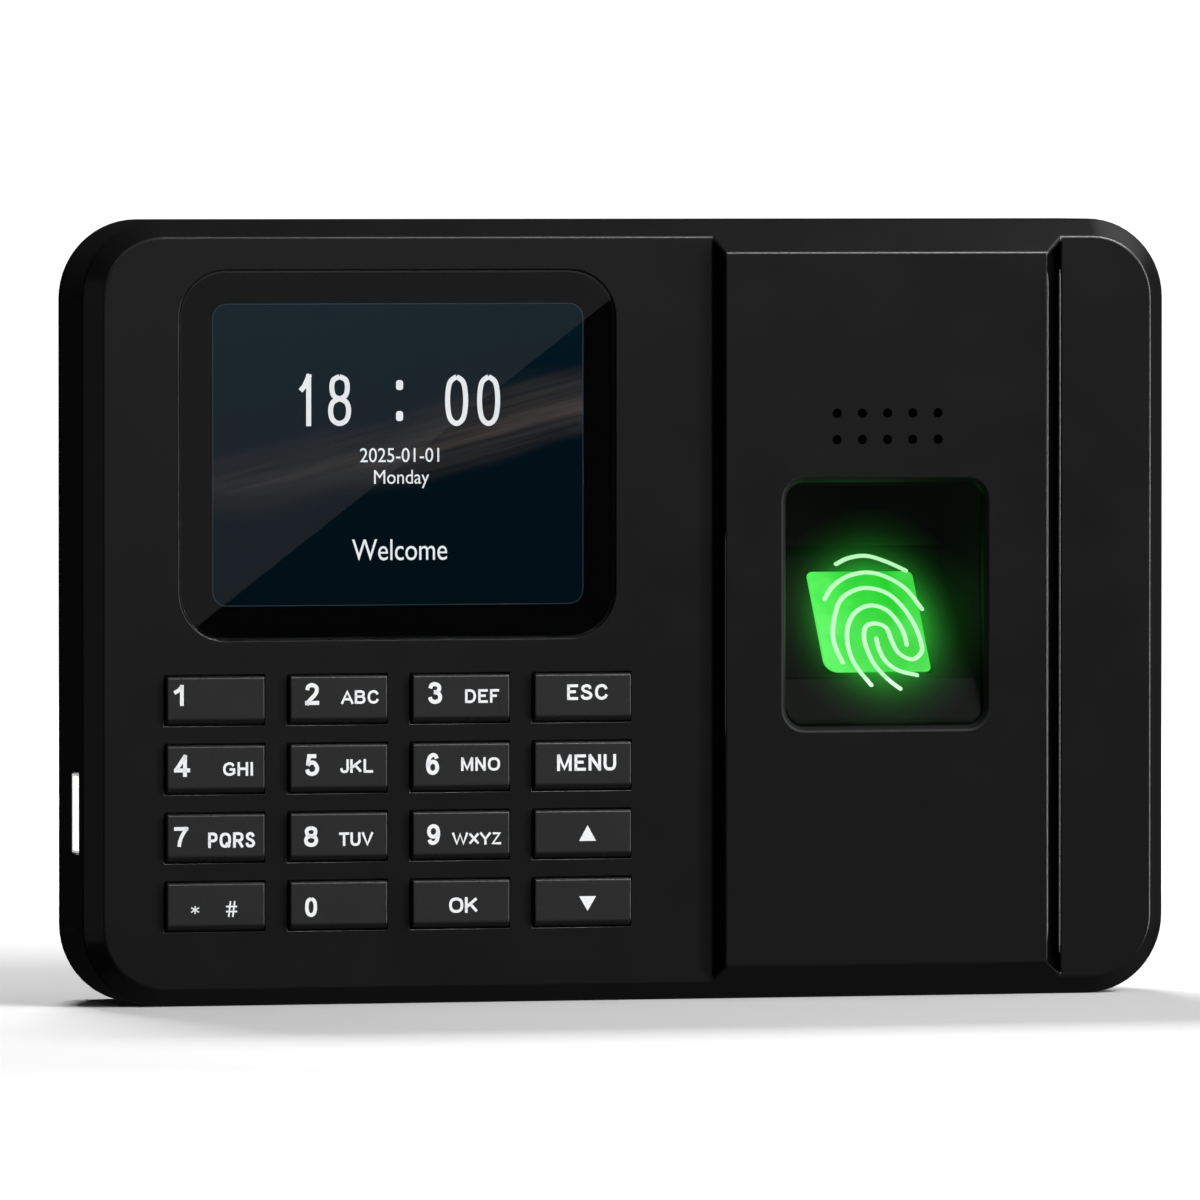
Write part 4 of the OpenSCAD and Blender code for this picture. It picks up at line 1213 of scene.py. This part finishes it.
def place_panel(name, place, turn, size, power, colour=(1, 1, 1)):
    """A rectangular light that the camera doesn't see."""
    light = bpy.data.lights.new(name, "AREA")
    light.shape = "RECTANGLE"
    light.size, light.size_y = size
    light.energy = power
    light.color = colour
    holder = bpy.data.objects.new(name, light)
    bpy.context.scene.collection.objects.link(holder)
    holder.matrix_world = Matrix.Translation(place) @ turn.to_4x4()
    holder.visible_camera = False
    return holder


def add_area(name, place, aim, size, power, colour=(1, 1, 1)):
    """A rectangular light turned towards a point."""
    turn = (Vector(aim) - Vector(place)).to_track_quat("-Z", "Y").to_matrix()
    return place_panel(name, place, turn, size, power, colour)


def make_camera():
    """The camera at the photograph's viewing angle."""
    camera = bpy.data.objects.new("camera", bpy.data.cameras.new("camera"))
    bpy.context.scene.collection.objects.link(camera)
    camera.location = (-0.73347, -2.55396, 0.14049)
    camera.rotation_euler = Euler((math.radians(88.4), 0, math.radians(-16)))
    camera.data.lens = 477
    camera.data.sensor_width = 36
    camera.data.clip_start = 0.05
    camera.data.clip_end = 50
    bpy.context.scene.camera = camera


# The studio's floor and the wall around it, in metres
FLOOR_RADIUS = 3.0
FLOOR_BEND = 0.5
WALL_HEIGHT = 3.5
BEND_STEPS = 12
ROUND_STEPS = 96
# How far from the object the floor's own light sets in, and where it is full
LIT_FROM = 0.22
LIT_FULLY = 0.9


def floor_material():
    """White paper that shines by itself away from the object."""
    paint = Paint("floor_paper")
    paint.set(Roughness=0.5, Specular_IOR_Level=0.1, Emission_Strength=1.0)
    length = paint.add("ShaderNodeVectorMath", operation="LENGTH")
    paint.link(paint.place, length.inputs[0])
    distance = paint.span(length.outputs["Value"], 0.0, 1.0, LIT_FROM, LIT_FULLY)
    far_light = [(0.0, (0.0, 0.0, 0.0, 1)), (1.0, (1, 1, 1, 1))]
    paint.link(paint.ramp(distance, far_light), paint.shader.inputs["Emission Color"])
    stops = [(0.3, (0.80, 0.80, 0.80, 1)), (0.7, (0.82, 0.82, 0.82, 1))]
    paint.link(paint.ramp(paint.noise(8.0), stops), paint.shader.inputs["Base Color"])
    return paint.material


def make_floor():
    """A pale round floor that runs up into a backdrop on all sides."""
    profile = [(0.05, 0.0), (0.6, 0.0), (FLOOR_RADIUS, 0.0)]
    for step in range(1, BEND_STEPS + 1):
        angle = math.radians(90) * step / BEND_STEPS
        out = FLOOR_RADIUS + FLOOR_BEND * math.sin(angle)
        profile.append((out, FLOOR_BEND * (1 - math.cos(angle))))
    profile.append((FLOOR_RADIUS + FLOOR_BEND, WALL_HEIGHT))
    rings = []
    for out, z in profile:
        turns = [math.tau * step / ROUND_STEPS for step in range(ROUND_STEPS)]
        rings.append([(out * math.cos(turn), out * math.sin(turn), z) for turn in turns])
    mesh = loft(rings, closed_ends=False)
    mesh.verts.ensure_lookup_table()
    mesh.faces.new(mesh.verts[:ROUND_STEPS])
    bmesh.ops.recalc_face_normals(mesh, faces=mesh.faces)
    for face in mesh.faces:
        face.smooth = True
    data = bpy.data.meshes.new("floor")
    mesh.to_mesh(data)
    mesh.free()
    floor = bpy.data.objects.new("floor", data)
    bpy.context.scene.collection.objects.link(floor)
    data.materials.append(floor_material())
    floor.visible_diffuse = False
    floor.visible_glossy = False
    floor.visible_transmission = False
    floor.visible_shadow = False


def make_lights():
    """Soft lights at the upper right, weak fills, and a faint green glow at the reader.

    The floor blocks no light, so the lamp below it still reaches the underside."""
    aim = (0.02, 0, 0.07)
    add_area("top_strip", (0.85, -1.05, 1.0), aim, (0.9, 0.16), 18)
    add_area("right_strip", (1.18, -0.70, 0.20), aim, (0.16, 0.9), 10)
    add_area("crown_light", (0.85, -0.25, 0.95), (0.06, 0, 0.10), (1.0, 1.0), 3.5)
    add_area("key_light", (0.55, -0.70, 0.60), (0.06, 0, 0.08), (0.6, 0.6), 3)
    add_area("left_light", (-0.30, -1.25, 1.05), aim, (1.5, 1.1), 2.5)
    add_area("left_fill", (-1.50, -0.58, 0.10), aim, (0.6, 1.0), 0.3)
    add_area("low_fill", (0.15, -0.05, -0.50), (0.05, 0, 0), (1.2, 1.2), 0.25)
    back_light = add_area("back_light", (0.0, 0.80, 1.15), (0, 0, 0.0), (0.5, 0.3), 18)
    back_light.visible_glossy = False
    make_lens_gloss()
    glow = (0.06, 1.0, 0.08)
    near = slope_point(0, 0, 4 * MM)
    add_area("reader_halo", near, slope_point(0, 0, 0), (0.019, 0.020), 0.0004, glow)
    add_area("reader_glow", slope_point(0, 0, 0.6 * MM), slope_point(0, 0, 30 * MM),
             (0.017, 0.018), 0.0003, glow)
    world = bpy.data.worlds.new("studio")
    world.use_nodes = True
    background = world.node_tree.nodes["Background"]
    background.inputs["Color"].default_value = (1, 1, 1, 1)
    background.inputs["Strength"].default_value = 0.008
    bpy.context.scene.world = world


def make_lens_gloss():
    """A dim panel whose straight lower edge shows as the slanting gloss on the lens.

    Its place is worked out once from where the main camera stands."""
    camera = bpy.context.scene.camera.location
    mirrored = Vector((camera.x, 2 * FRONT_Y - camera.y, camera.z))
    plane_y = -1.0
    ends = []
    for x, z in ((-3.8 * MM, 116.6 * MM), (-74.5 * MM, 63.0 * MM)):
        ray = Vector((x, FRONT_Y, z)) - mirrored
        ends.append(mirrored + ray * (plane_y - mirrored.y) / ray.y)
    along = (ends[0] - ends[1]).normalized()
    across = Vector((-along.z, 0, along.x))
    reach = 0.30
    centre = (ends[0] + ends[1]) / 2 + across * reach / 2
    size = (0.36, reach)
    radiance = 0.27
    outward = Vector((0, 1, 0))
    turn = Matrix((along, outward.cross(along) * -1, -outward)).transposed()
    place_panel("lens_gloss", centre, turn, size, radiance * math.pi * size[0] * size[1])


# ---- Assembly ----

make_camera()
make_floor()
make_front_shell()
make_rear_shell()
make_well()
make_highlight_beads()
for key_name in KEY_NAMES:
    make_key(key_name)
make_screen()
make_reader()
for node_name, node_paint in NODE_PAINTS.items():
    dress(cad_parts[node_name], node_paint)
make_lights()
bpy.context.scene.view_settings.view_transform = "Standard"
